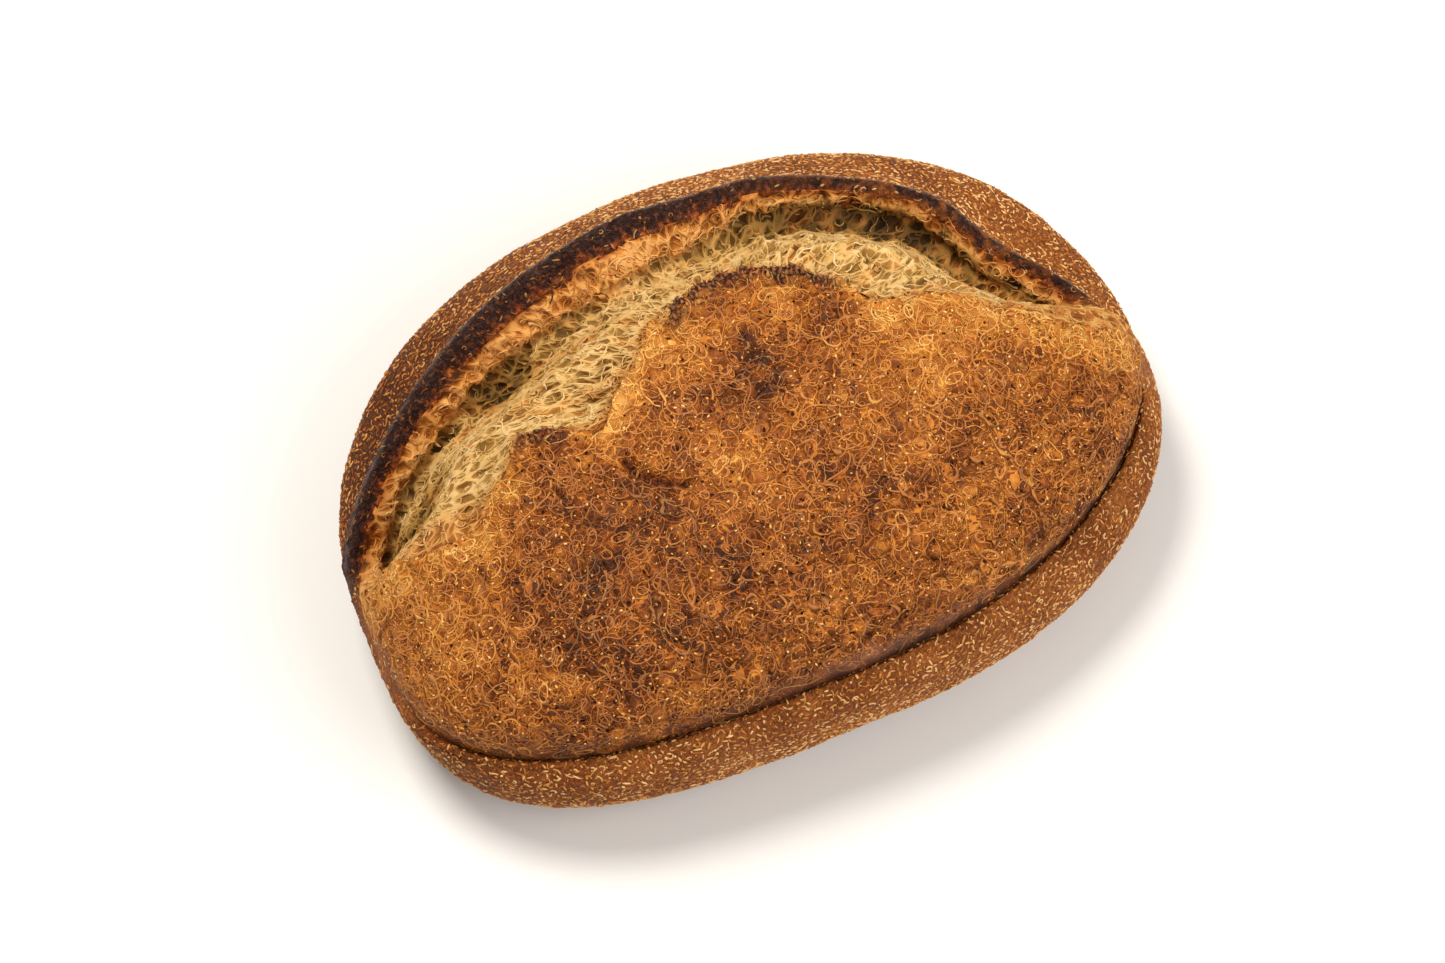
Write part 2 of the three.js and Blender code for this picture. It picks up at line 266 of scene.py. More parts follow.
def crease_points(azimuth):
    rim, foot = rim_radius(azimuth), rim_height(azimuth)
    bloom = [(inset, dome_height(azimuth, rim - inset) - short)
             for inset, short in ((2.2, 2), (4, 0.6), (6.4, 0), (9, 0), (14, 0), (20, 0))]
    return [(-2.6, foot - 1.6), (-0.6, foot - 0.9), (0.6, foot - CREASE_DEPTH),
            (1.1, foot + 0.5), *bloom]


# %% The ten points of every section and their spline
def rim_points(azimuth):
    """The ten points for every azimuth, as an array (point, inset or height, azimuth)."""
    ear, crease = ear_strength(azimuth), crease_strength(azimuth)
    zero = 0 * azimuth
    points = []
    for plain, lip, groove in zip(plain_points(azimuth), ear_points(azimuth),
                                  crease_points(azimuth)):
        points.append([zero + (1 - ear - crease) * plain[k] + ear * lip[k] + crease * groove[k]
                       for k in (0, 1)])
    return np.array(points)


def rim_spline(points, t):
    """A point of the spline through rim_points, with t from 0 at the shell to 9 at the bloom."""
    last = len(points) - 1
    t = np.clip(t, 0, last - 1e-6)
    i = np.floor(t).astype(int)
    f = t - i
    columns = np.arange(points.shape[2])

    def at(k):
        return points[np.clip(k, 0, last), :, columns].T

    before, a, b, after = at(i - 1), at(i), at(i + 1), at(i + 2)
    slope_a, slope_b = (b - before) / 2, (after - a) / 2
    return ((2 * f ** 3 - 3 * f ** 2 + 1) * a + (f ** 3 - 2 * f ** 2 + f) * slope_a
            + (-2 * f ** 3 + 3 * f ** 2) * b + (f ** 3 - f ** 2) * slope_b)


# %% [markdown]
# Below the rim the shell is one Bezier arc down to the waist, and the heel below that a quarter of
# an ellipse that rolls in to the flat underside.

# %% Sections of the side and the heel
def side_point(azimuth, points, t):
    """From the rim (t = 0) down to the waist (t = 1): radius and height."""
    top_r, top_z = rim_radius(azimuth) - points[0, 0], points[0, 1]
    waist = oval(azimuth, PLAN)
    lean = np.radians(58 + 6 * ear_strength(azimuth) - 10 * crease_strength(azimuth))
    reach = 0.36 * np.hypot(top_r - waist, top_z - WAIST_HEIGHT)
    radii = (top_r, top_r + reach * np.cos(lean), waist, waist)
    heights = (top_z, top_z - reach * np.sin(lean), mix(WAIST_HEIGHT, top_z, 0.45), WAIST_HEIGHT)
    shares = ((1 - t) ** 3, 3 * (1 - t) ** 2 * t, 3 * (1 - t) * t ** 2, t ** 3)
    return (sum(k * r for k, r in zip(shares, radii)), sum(k * z for k, z in zip(shares, heights)))


def heel_point(azimuth, t):
    angle = t * math.pi / 2
    share = mix(BASE_SHARE, 1, math.cos(angle))
    return oval(azimuth, PLAN) * share, WAIST_HEIGHT * (1 - math.sin(angle)) + 0 * azimuth


# %% [markdown]
# The big relief is the same in the solid and here: slow swellings of the dome, the step where the
# browned crust tore away from the crumb, two flaps of crust that curl up, and one small tear.

# %% Broad relief
def swell(x, y):
    return 1.1 * noise(x / 34, y / 27, 3) + 0.7 * noise(x / 13, y / 11, 4)


def spread_spots(x, y, spots):
    """Soft spots, each a centre, two radii, a turn and a height."""
    total = 0 * (x + y)
    for cx, cy, rx, ry, turn, height in spots:
        c, s = math.cos(math.radians(turn)), math.sin(math.radians(turn))
        u, v = (c * (x - cx) + s * (y - cy)) / rx, (c * (y - cy) - s * (x - cx)) / ry
        total = total + height * np.exp(-(u * u + v * v))
    return total


def crumb_relief(x, y):
    foam = 1.3 * noise(x / 5, y / 5, 6) - 2.4 * np.maximum(noise(x / 9, y / 7, 5), 0)
    return foam - spread_spots(x, y, CAVITIES)


def inside_crust(x, y):
    """How far a point of the plan lies inside the torn edge of the bloom's crust."""
    return crust_edge(x) + 1.6 * noise(x / 6, 0.5, 7) - y


def valley(azimuth, inset, x, y):
    """How far the crumb has sunk between the ear's foot and the crust of the bloom."""
    foot = lip_thickness(azimuth) + fringe_width(azimuth)
    depth = 3 + 5 * np.exp(-((x + 80) / 42) ** 2) + 4.5 * np.exp(-((x - 80) / 34) ** 2)
    shape = ease(inset, foot, foot + 12) * ease(y - crust_edge(x), -2, 14)
    return ear_strength(azimuth) * depth * shape


# %% The torn crust, the small tear and all relief of the top
def crust_relief(x, y):
    inside = inside_crust(x, y)
    height = -CRUST_STEP * (1 - ease(inside, -4, 0))
    for start, stop, lift in CRUST_FLAPS:
        along = between(x, start, stop, 8)
        curl = ease(inside, -3, 1) * (1 - ease(inside, 2, 12))
        height = height + along * lift * (curl - 0.5 * (1 - ease(inside, -3, 0)))
    return height


def tear_share(x, y):
    azimuth, radius = to_crown(x - TEAR["centre"][0], y - TEAR["centre"][1])
    along = between(azimuth, TEAR["from"] - 8, TEAR["to"] + 8, 16)
    off = (radius - TEAR["radius"]) / TEAR["width"]
    return along * np.exp(-off * off)


def top_relief(azimuth, inset, x, y):
    on_top = ease(inset, 6, 18)
    crumb = ear_strength(azimuth) * ease(inset, 9, 14) * ease(y - crust_edge(x), -2, 4)
    height = swell(x, y) + crust_relief(x, y) - TEAR["depth"] * tear_share(x, y)
    return on_top * height + crumb * crumb_relief(x, y) - valley(azimuth, inset, x, y)


def shell_relief(azimuth, z):
    fade = ease(z, 4, 18)
    return fade * 0.8 * noise(azimuth / 15, z / 22, 8) - 0.8 * fade


# %% [markdown]
# A fine skin has a hundred thousand points, so its mesh is filled from arrays instead of point by
# point. Numbers that a material or a node tree will read later, such as how toasted a spot is,
# ride along as named attributes on the points. If a closed mesh holds a negative volume its faces
# look inwards, and then they are all turned round.

# %% Arrays into closed meshes
def signed_volume(points, triangles):
    a, b, c = (points[triangles[:, k]] for k in range(3))
    return np.einsum("ij,ij->i", a, np.cross(b, c)).sum() / 6


def fans(faces):
    """Any face as triangles, for measuring."""
    quads = faces[faces[:, 3] >= 0]
    return np.concatenate([faces[:, :3], quads[:, [0, 2, 3]]])


def add_attribute(mesh, name, values):
    """values may stop before the last points, which are hidden ones and get zeros."""
    values = np.asarray(values, dtype=np.float32)
    vectors = values.shape[-1] == 3
    values = values.reshape(-1, 3) if vectors else values.ravel()
    missing = np.zeros((len(mesh.vertices) - len(values), *values.shape[1:]), np.float32)
    slot = mesh.attributes.new(name, "FLOAT_VECTOR" if vectors else "FLOAT", "POINT")
    filled = np.concatenate([values, missing])
    slot.data.foreach_set("vector" if vectors else "value", filled.ravel())


def closed_piece(name, points, faces, marks):
    """points in mm; faces of four indices, the last one -1 for a triangle; marks by their names."""
    if signed_volume(points, fans(faces)) < 0:
        quads = faces[:, 3] >= 0
        faces = np.where(quads[:, None], faces[:, ::-1], faces[:, [2, 1, 0, 3]])
    sizes = np.where(faces[:, 3] >= 0, 4, 3)
    mesh = bpy.data.meshes.new(name)
    mesh.vertices.add(len(points))
    mesh.vertices.foreach_set("co", (points * MM).astype(np.float32).ravel())
    mesh.loops.add(int(sizes.sum()))
    mesh.loops.foreach_set("vertex_index", faces[faces >= 0].astype(np.int32))
    mesh.polygons.add(len(faces))
    mesh.polygons.foreach_set("loop_start", (np.cumsum(sizes) - sizes).astype(np.int32))
    for key, values in {"skin": points, **marks}.items():
        add_attribute(mesh, key, values)
    mesh.update(calc_edges=True)
    mesh.validate()
    mesh.shade_smooth()
    piece = bpy.data.objects.new(name, mesh)
    bpy.context.scene.collection.objects.link(piece)
    print(name, "has", len(points), "points and", int((sizes - 2).sum()), "triangles")
    return piece


# %% Faces and points by rows and rings
def ring_faces(rows, columns, closed):
    """Quads between the rows of a grid of points; closed joins the last column to the first."""
    wide = columns if closed else columns - 1
    i, j = np.meshgrid(np.arange(rows - 1), np.arange(wide), indexing="ij")
    k = (j + 1) % columns
    corners = (i * columns + j, i * columns + k, (i + 1) * columns + k, (i + 1) * columns + j)
    return np.stack(corners, -1).reshape(-1, 4)


def fan_faces(ring, centre):
    """Triangles from a closed ring of point numbers to one centre."""
    after = np.roll(ring, -1)
    return np.stack([ring, after, np.full_like(ring, centre), np.full_like(ring, -1)], -1)


def closed_band(rows):
    """A tube from rows of points, its last row joined to its first and its two ends fanned shut."""
    columns = len(rows[0])
    skin = np.concatenate(rows)
    ends = [skin.reshape(len(rows), -1, 3)[:, k].mean(axis=0) for k in (0, -1)]
    faces = ring_faces(len(rows) + 1, columns, False)
    faces = np.where(faces >= len(skin), faces - len(skin), faces)
    first = np.arange(len(rows)) * columns
    faces = np.concatenate([faces, fan_faces(first, len(skin)),
                            fan_faces(first[::-1] + columns - 1, len(skin) + 1)])
    return np.concatenate([skin, ends]), faces


def around(azimuth, radius, height):
    """Points in the loaf's own frame, from azimuth and radius around the crown."""
    x, y = from_crown(azimuth, radius)
    return np.stack([x + CROWN[0], y + CROWN[1], height + 0 * x], -1)


def even_azimuths(count, start=0.0, stop=360.0, form=PLAN, closed=True):
    """Azimuths that step evenly along the outline of an oval."""
    dense = np.linspace(start, stop, 4001)
    along = walked(*from_crown(dense, oval(dense, form)))
    return np.interp(np.linspace(0, along[-1], count, endpoint=not closed), along, dense)


# %% [markdown]
# The shell is the floured, slowly browned skin that the oven spring never tore: the underside, the
# heel, the sides and the lip of the ear. It could be a sculpted ball, but its sections are known,
# so it is lofted: one ring of points per level, 840 points round. Past the lip the rings turn down
# into the loaf, where nothing shows, and close there, so the piece is one solid.

# %% The shell's skin
SHELL_COLUMNS = 840
BASE_RINGS = (0.15, 0.4, 0.65, 0.82, 0.93)  # shares of the flat underside's radius
HEEL_ROWS = 28
SIDE_ROWS = 48
LIP_ROWS = 20


def shell_rows(azimuth, points):
    """Rows of (radius, height, how far over the rim), from the underside up over the lip."""
    ear, crease = ear_strength(azimuth), crease_strength(azimuth)
    heel_radius = oval(azimuth, PLAN) * BASE_SHARE
    rows = [(heel_radius * share, 0 * azimuth, -3.0) for share in BASE_RINGS]
    rows += [(*heel_point(azimuth, 1 - k / HEEL_ROWS), -2.0) for k in range(HEEL_ROWS)]
    rows += [(*side_point(azimuth, points, 1 - k / SIDE_ROWS), -1 + k / SIDE_ROWS)
             for k in range(SIDE_ROWS)]
    last = 1.6 + 1.6 * ear + 0.4 * crease
    for k in range(LIP_ROWS + 1):
        inset, z = rim_spline(points, last * k / LIP_ROWS)
        rows.append((rim_radius(azimuth) - inset, z, k / LIP_ROWS))
    return rows


def hidden_rows(azimuth):
    """Rows that close the shell out of sight, under the bloom and the crumb."""
    rim, z = rim_radius(azimuth), rim_height(azimuth)
    ear, crease = ear_strength(azimuth), crease_strength(azimuth)
    first = (rim - 2 - 3 * (1 - ear), z - 4 - 20 * ear - 3 * crease)
    return [first, (rim - 16, z - 8 - 26 * ear - 6 * crease), (0.5 * rim, 30 + 0 * azimuth)]


# %% The shell's marks and its mesh
def shell_marks(azimuth, height, over):
    """Numbers for the shell's material and blisters, for each point of its rings."""
    ear, crease = ear_strength(azimuth), crease_strength(azimuth)
    lip = ear * ease(over, -0.02, 0.2)
    less_burnt = hump(azimuth, 30, 34) * ease(rough(azimuth / 1.5, over * 3, 35), -0.5, 0.6)
    ragged = over + 0.16 * rough(azimuth / 1.6, 0.5, 34)
    return {
        "lip": lip,
        "char": lip * (1 - 0.66 * less_burnt),
        "ember": ear * ease(ragged, 0.76, 1.08),
        # Painted sheen: a blue-grey highlight line along the lip's outer upper edge.
        "painted_sheen": ear * np.exp(-((over - 0.24) / 0.11) ** 2),
        "golden": (1 - ear - crease) * ease(height - rim_height(azimuth), -16, 2),
        # Darker at the back left: partly a browner crust, partly painted shade.
        "browned_and_shaded": hump(azimuth, 155, 45),
        "relief": (over > -2.5) * (1 + 0.9 * ear * ease(over, 0.1, 0.5))}


def shell_piece():
    azimuth = even_azimuths(SHELL_COLUMNS)
    grid, over = [], []
    for radius, height, part in shell_rows(azimuth, rim_points(azimuth)):
        swollen = radius + shell_relief(azimuth, height) * (part > -2.5) * ease(-part, -0.05, 0.05)
        grid.append(around(azimuth, swollen, height))
        over.append(part + 0 * azimuth)
    visible = len(grid) * SHELL_COLUMNS
    for radius, height in hidden_rows(azimuth):
        grid.append(around(azimuth, radius, height))
        over.append(1 + 0 * azimuth)
    skin = np.concatenate(grid)
    poles = np.array([[*CROWN, 0], [*CROWN, 30]])
    ring = np.arange(SHELL_COLUMNS)
    faces = np.concatenate([
        ring_faces(len(grid), SHELL_COLUMNS, True), fan_faces(ring, len(skin)),
        fan_faces(len(skin) - SHELL_COLUMNS + ring, len(skin) + 1)])
    marks = shell_marks(np.tile(azimuth, len(grid)), skin[:, 2], np.concatenate(over))
    marks["relief"][visible:] = 0
    return closed_piece("crust_shell", np.concatenate([skin, poles]), faces, marks)


shell = shell_piece()


# %% [markdown]
# Below the ear the dough tore open, and this pale open crumb is a band of its own: it starts as
# the ragged fringe inside the lip, drops down the wall of the hollow and climbs the torn slope
# until it slips under the golden crust. Its sections are walked once and shared out evenly by
# length, so the overhanging wall gets as many points as the slope.

# %% The torn crumb's skin
CRUMB_COLUMNS = 800
CRUMB_ROWS = 112
CRUMB_START = 2.95  # on the rim's spline, just inside the lip
CRUMB_ENDS = (-9.0, 187.0)
CRUMB_TUCK = 2.4  # how far the band dips where it slips under the bloom's crust
GRAIN_STRETCH = 0.82  # below 1 the bubbles come out longer down the tear than along it


def crumb_stop(azimuth):
    """Radius where the band may end: under the crust, past the innermost crumb that shows."""
    share = np.linspace(1, 0.05, 500)[:, None]
    radius = share * (rim_radius(azimuth) - 2)
    shows = inside_crust(*from_crown(azimuth, radius)) < 2
    stop = np.where(shows, radius, rim_radius(azimuth) - 4).min(axis=0) - 3.5
    spread = 9
    padded = np.pad(stop, spread, mode="edge")
    lowest = np.min([padded[k:k + len(stop)] for k in range(2 * spread + 1)], axis=0)
    padded = np.pad(lowest, spread, mode="edge")
    return np.mean([padded[k:k + len(stop)] for k in range(2 * spread + 1)], axis=0)


def crumb_sections(azimuth):
    """Dense sections (radius, height) from the fringe to the stop, resampled to CRUMB_ROWS."""
    points = rim_points(azimuth)
    rim = rim_radius(azimuth)
    start = mix(1.0, CRUMB_START, ear_strength(azimuth))
    torn = [rim_spline(points, mix(start, 9, share)) for share in np.linspace(0, 1, 160)]
    radii = [rim - inset for inset, _ in torn]
    heights = [z for _, z in torn]
    torn_end = radii[-1]
    for share in np.linspace(0.02, 1, 90):
        radius = torn_end * (1 - share)
        radii.append(radius)
        heights.append(dome_height(azimuth, radius))
    radii, heights = np.array(radii), np.array(heights)
    stop = crumb_stop(azimuth)
    result = np.empty((2, CRUMB_ROWS, len(azimuth)))
    for column in range(len(azimuth)):
        r, z = radii[:, column], heights[:, column]
        keep = max(12, np.count_nonzero(np.minimum.accumulate(r) > stop[column]))
        r, z = r[:keep], z[:keep]
        down = walked(r, z)
        steps = np.linspace(0, down[-1], CRUMB_ROWS)
        result[0, :, column] = np.interp(steps, down, r)
        result[1, :, column] = np.interp(steps, down, z)
    return result


# %% The crumb's marks and its mesh
def crumb_marks(azimuth, radius, height, inside):
    """Numbers for the crumb's material, relief and strands, for each row and azimuth."""
    ear = ear_strength(azimuth)
    below = walked(radius, height)
    along = walked(*from_crown(azimuth, rim_radius(azimuth))) + 0 * below
    ragged = 2.2 * rough(azimuth / 2.3, below / 5, 31)
    fringe = fringe_width(azimuth) + 1.5 * noise(azimuth / 9, 0.5, 32) - 3.5 * hump(azimuth, 14, 24)
    scorch = ear * (1 - ease(below + 0.6 * ragged, 0, 4))
    toast = np.maximum(scorch, ear * (1 - ease(below + ragged, fringe + 0.5, fringe + 6)))
    # Painted shade in the hollow under the ear: strongest at these azimuths, in a band below the
    # fringe.
    shade = (1.2 * hump(azimuth, 44, 32) + 0.6 * hump(azimuth, 144, 20)
             + 0.25 * hump(azimuth, 10, 12))
    far = 13 + 9 * hump(azimuth, 42, 34)
    deep = ease(below, fringe + 1, fringe + 5) * (1 - ease(below + ragged, far, far + 9))
    x, y = from_crown(azimuth, radius)
    # Painted shade in the burst bubbles of the crumb.
    burst = np.minimum(1, spread_spots(x, y, CAVITIES) / 4) * (1 - toast)
    row = np.arange(CRUMB_ROWS)[:, None]
    return {
        "grain": np.stack([along, GRAIN_STRETCH * below, 0 * below], -1),
        "toast": toast,
        "scorch": scorch,
        # Painted shade of the hollow under the ear and of the burst bubbles.
        "hollow_shade": np.maximum(ear * shade * deep, burst),
        "golden": np.maximum(1 - ear, ease(inside + 1.8 * rough(x / 5, y / 5, 33), -6, 0)),
        "relief": (0.6 + 0.4 * ear) * ease(row, 0, 7) * (1 - ease(inside, -1, 1))}


def crumb_piece():
    azimuth = even_azimuths(CRUMB_COLUMNS, *CRUMB_ENDS, form=RIM, closed=False)
    radius, height = crumb_sections(azimuth)
    rim, lip, ear = rim_radius(azimuth), rim_height(azimuth), ear_strength(azimuth)
    x, y = from_crown(azimuth, radius)
    inside = inside_crust(x, y)
    lifted = height + top_relief(azimuth, rim - radius, x, y)
    lifted = lifted - CRUMB_TUCK * ease(inside, -0.5, 2.5)
    row = np.arange(CRUMB_ROWS)[:, None]
    lifted = lifted - 0.5 * (1 - ear) * (1 - ease(row, 0, 8))
    sunk = [(radius[-1], lifted[-1] - 9), (radius[CRUMB_ROWS // 2], lip - 30 - 5 * ear),
            (rim - 2, lip - 20), (radius[0] + mix(-3, 1.5, ear), lifted[0] - 4)]
    skin, faces = closed_band([around(azimuth, r, z) for r, z in [*zip(radius, lifted), *sunk]])
    return closed_piece("open_crumb", skin, faces, crumb_marks(azimuth, radius, height, inside))


crumb = crumb_piece()

# %% [markdown]
# The bloom is the dome of dough that rose out of the slash, under one golden crust. A round grid
# with its rings crowding at the crown would waste points, so a square grid is rounded into a disc,
# and the disc's upright chords are then stretched between the crease in front and the torn edge
# behind.

# %% The bloom's height and its two borders
BLOOM_CELLS = 306
BLOOM_HUB = np.array([-5, -40, 40.0])  # where the hidden underside of the bloom meets
BLOOM_HEMS = ((0.012, 1.3), (0.06, 5))  # two hidden rings: share of the way in, drop
TABLE_STEPS = 4  # of the table of heights near the rim, per degree and per millimetre
RIM_INSETS = np.arange(-1, 50, 1 / TABLE_STEPS)
TABLE_AZIMUTHS = np.linspace(0, 360, 360 * TABLE_STEPS + 1)


def rim_height_table(azimuth):
    """Heights near the rim, for each azimuth and inset."""
    points = rim_points(azimuth)
    crossing = np.array([rim_spline(points, t + 0 * azimuth) for t in np.linspace(0.9, 9, 260)])
    inset = np.maximum.accumulate(crossing[:, 0], axis=0)
    rows = [np.interp(RIM_INSETS, inset[:, k], crossing[:, 1, k]) for k in range(len(azimuth))]
    return np.array(rows)


RIM_TABLE = rim_height_table(TABLE_AZIMUTHS)


def bilinear(table, row, column):
    row = np.clip(row, 0, table.shape[0] - 1.001)
    column = np.clip(column, 0, table.shape[1] - 1.001)
    i, j = np.floor(row).astype(int), np.floor(column).astype(int)
    u, v = row - i, column - j
    near, far = mix(table[i, j], table[i + 1, j], u), mix(table[i, j + 1], table[i + 1, j + 1], u)
    return mix(near, far, v)


def bloom_height(x, y):
    """Height of the bloom's skin without relief, its azimuth and its inset from the rim."""
    azimuth, radius = to_crown(x, y)
    inset = rim_radius(azimuth) - radius
    near_rim = bilinear(RIM_TABLE, azimuth * TABLE_STEPS, (inset - RIM_INSETS[0]) * TABLE_STEPS)
    strip = mix(20, torn_width(azimuth), ear_strength(azimuth))
    height = mix(near_rim, dome_height(azimuth, radius), ease(inset, strip - 8, strip - 1))
    return height, azimuth, inset


def inside_border(x, y):
    azimuth, radius = to_crown(x, y)
    inset = rim_radius(azimuth) - radius
    teeth = 2.0 * np.abs(noise(x / 1.8, 0.5, 41)) + 1.5 * noise(x / 4.3, 1.5, 42)
    crust = inside_crust(x, y) - teeth
    return np.minimum(inset - mix(0.2, 0.7, crease_strength(azimuth)), crust)


def bloom_borders(x):
    """The lowest and the highest y of the bloom at each x."""
    y = np.arange(-100, 60, 0.1)[:, None]
    inside = inside_border(x, y) > 0
    front = y[np.argmax(inside, axis=0), 0]
    back = y[len(y) - 1 - np.argmax(inside[::-1], axis=0), 0]
    return np.where(inside.any(axis=0), front, 0), np.where(inside.any(axis=0), back, 0)


# %% The bloom's points
def rounded_square(cells):
    """Points of a square grid moved into a disc of radius 1."""
    u, v = np.meshgrid(np.linspace(-1, 1, cells + 1), np.linspace(-1, 1, cells + 1))
    return u * np.sqrt(1 - v * v / 2), v * np.sqrt(1 - u * u / 2)


def share_walked(*lines):
    """How much of its whole way each row of points has walked, from 0 to 1."""
    way = walked(*lines)
    return way / way[-1]


def bloom_plan(across, upward):
    """Spreads the disc's points over the bloom, evenly along its skin both ways."""
    x = np.arange(-139, 137, 0.1)
    front, back = bloom_borders(x)
    wide = back - front > 4
    x, front, back = x[wide], front[wide], back[wide]
    middle = (front + back) / 2
    along = share_walked(x[:, None], bloom_height(x, middle)[0][:, None])[:, 0]
    y = np.linspace(0, 1, 300)[:, None] * (back - front) + front
    upright = share_walked(y, bloom_height(x + 0 * y, y)[0])
    shares = np.linspace(0, 1, 257)
    table = np.array([np.interp(shares, upright[:, k], y[:, k]) for k in range(len(x))])
    plan_x = np.interp((across + 1) / 2, along, x)
    chord = np.sqrt(np.maximum(1 - across ** 2, 1e-9))
    share = np.clip((upward / chord + 1) / 2, 0, 1)
    row = np.interp(plan_x, x, np.arange(len(x)))
    plan_y = bilinear(table, row, share * (len(shares) - 1))
    return plan_x, plan_y


# %% Fields and holes of the bloom
# Toasted and pale fields: x and y from the crown, two radii, a turn and a strength.
TOASTED = (
    (4, 14, 8, 16, 10, 0.7), (0, -2, 12, 12, 0, 0.5), (28, 14, 5, 26, -22, 0.55),
    (-46, -26, 17, 13, 20, 0.8), (-80, -36, 22, 17, 30, 0.85), (-66, -2, 16, 10, 20, 0.5),
    (-33, -57, 20, 12, 10, 0.5), (19, -50, 16, 14, 0, 0.6), (10, -32, 22, 7, -38, 0.6),
    (62, -38, 28, 10, 12, 0.4), (-20, 8, 22, 9, 20, 0.45), (90, -30, 12, 22, 0, 0.2),
    (-60, -62, 45, 14, 12, 0.6), (-20, -78, 60, 7, 6, 0.4), (-84, -14, 14, 11, 0, 0.5))
PALE = (
    (-14, 22, 14, 12, 20, 0.6), (22, 30, 20, 8, 10, 0.6), (60, -2, 12, 9, 0, 0.45),
    (92, -6, 18, 13, -20, 0.95), (-116, -22, 20, 26, 0, 0.3), (-18, -20, 10, 8, 0, 0.4),
    (-92, -18, 9, 9, 0, 0.15), (46, 2, 22, 14, 0, 0.35), (-8, -64, 12, 8, 0, 0.3),
    (42, -48, 36, 16, 30, 0.3))
# Fields where the bubbles stand highest, given in the same way.
BUBBLY = ((55, -55, 45, 20, 30, 1.0), (-10, -62, 60, 16, 5, 0.8), (20, -15, 30, 30, 0, 0.5),
          (-60, -20, 30, 25, 0, 0.4), (95, -35, 22, 28, 0, 0.7))
# Holes where bubbles burst through the skin, most of them near the crease: the last is a depth.
HOLES = (
    (3, -78, 2.6, 1.7, 10, 2.4), (-10, -78.5, 2.2, 1.5, 0, 2.2), (-2, -72, 1.6, 1.3, 0, 1.6),
    (67, -67, 2.8, 1.6, 35, 2.4), (61, -69.5, 1.8, 1.3, 30, 1.8), (14, -76.5, 1.8, 1.3, 15, 1.8),
    (24, -76, 2.0, 1.3, 15, 1.8), (41, -72, 1.6, 1.2, 20, 1.6), (74, -61, 1.6, 1.2, 40, 1.6),
    (-24, -77, 1.6, 1.2, -5, 1.5), (-14, -24, 1.7, 1.3, 30, 1.4), (30, -66, 1.5, 1.2, 0, 1.4))


# %% The bloom's marks and its mesh
def bloom_marks(x, y, azimuth, inset, holes):
    """Numbers for the bloom's material, relief and curls, for each point of its skin."""
    inside = inside_crust(x, y)
    flap = sum(between(x, start, stop, 8) for start, stop, _ in CRUST_FLAPS)
    edge = inside + 6 * rough(x / 6, y / 6, 43)
    bent_x, bent_y = x + 6 * rough(x / 9, y / 9, 46), y + 6 * rough(x / 9, y / 9, 47)
    burnt = 1 - ease(inside + 2.2 * rough(x / 2.5, y / 2.5, 44), 3.5, 7)
    # Painted shade: a dark line in the groove of the crease, weaker at the front left.
    crease_shade = crease_strength(azimuth) * (1 - ease(inset + 0.8 * rough(x / 3, y / 3, 49), 0.3, 2.4))
    # Painted sheen: a mauve gloss on the smooth bloom just above the crease in front.
    painted_crease_gloss = hump(azimuth, 276, 22) * (1 - ease(inset + rough(x / 4, y / 4, 45), 0.5, 4))
    return {
        "toast": spread_spots(bent_x, bent_y, TOASTED) * (1 + 0.9 * rough(x / 4, y / 4, 48)),
        "pale": np.maximum(spread_spots(bent_x, bent_y, PALE),
                           (1 - 0.7 * flap) * (1 - ease(edge, 0, 19))),
        # char: dark crust along the torn flaps, plus painted shade in the small tear's groove and
        # in the burst holes.
        "char": flap * burnt + ease(tear_share(x, y), 0.35, 0.75) + 0.4 * holes,
        "crease_shade": crease_shade * (1 - 0.6 * hump(azimuth, 222, 30)),
        "teeth": flap * (1 - ease(inside + 1.2 * rough(x / 3, y / 3, 44), 3, 6)),
        "bubbly": np.clip(spread_spots(x, y, BUBBLY), 0, 1.2),
        "crease": painted_crease_gloss,
        "relief": ease(inset, 0.6, 3)}


def bloom_piece():
    x, y = bloom_plan(*rounded_square(BLOOM_CELLS))
    height, azimuth, inset = bloom_height(x, y)
    holes = spread_spots(x, y, HOLES)
    top = height + top_relief(azimuth, inset, x, y) - holes
    skin = np.stack([x + CROWN[0], y + CROWN[1], top], -1).reshape(-1, 3)
    side = BLOOM_CELLS + 1
    number = np.arange(side * side).reshape(side, side)
    border = np.concatenate([number[0, :-1], number[:-1, -1], number[-1, :0:-1], number[:0:-1, 0]])
    inner = [skin[border] + (BLOOM_HUB - skin[border]) * pull - [0, 0, drop]
             for pull, drop in BLOOM_HEMS]
    points = np.concatenate([skin, *inner, [BLOOM_HUB]])
    rings = [border, *(len(skin) + k * len(border) + np.arange(len(border)) for k in (0, 1))]
    walls = [np.stack([a, np.roll(a, -1), np.roll(b, -1), b], -1)[:, ::-1]
             for a, b in zip(rings[:-1], rings[1:])]
    faces = np.concatenate([ring_faces(side, side, False), *walls,
                            fan_faces(rings[-1][::-1], len(points) - 1)])
    return closed_piece("bloom_crust", points, faces, bloom_marks(x, y, azimuth, inset, holes))


bloom = bloom_piece()


# %% [markdown]
# Materials and Geometry Nodes share most of their maths nodes, so one small helper adds and joins
# them for both. The curled ridges of the bloom, for one, are worked out by the same nodes twice:
# once to lift the mesh and once to colour it, and so colour and relief always agree.

# %% Colours by their codes
def paint(code):
    """A colour from its hexadecimal code, as the linear values that Blender works in."""
    parts = [int(code[k:k + 2], 16) / 255 for k in (1, 3, 5)]
    return (*[c / 12.92 if c <= 0.04045 else ((c + 0.055) / 1.055) ** 2.4 for c in parts], 1.0)

# %% A short hand for nodes
VECTOR_MARKS = ("skin", "grain", "outward")


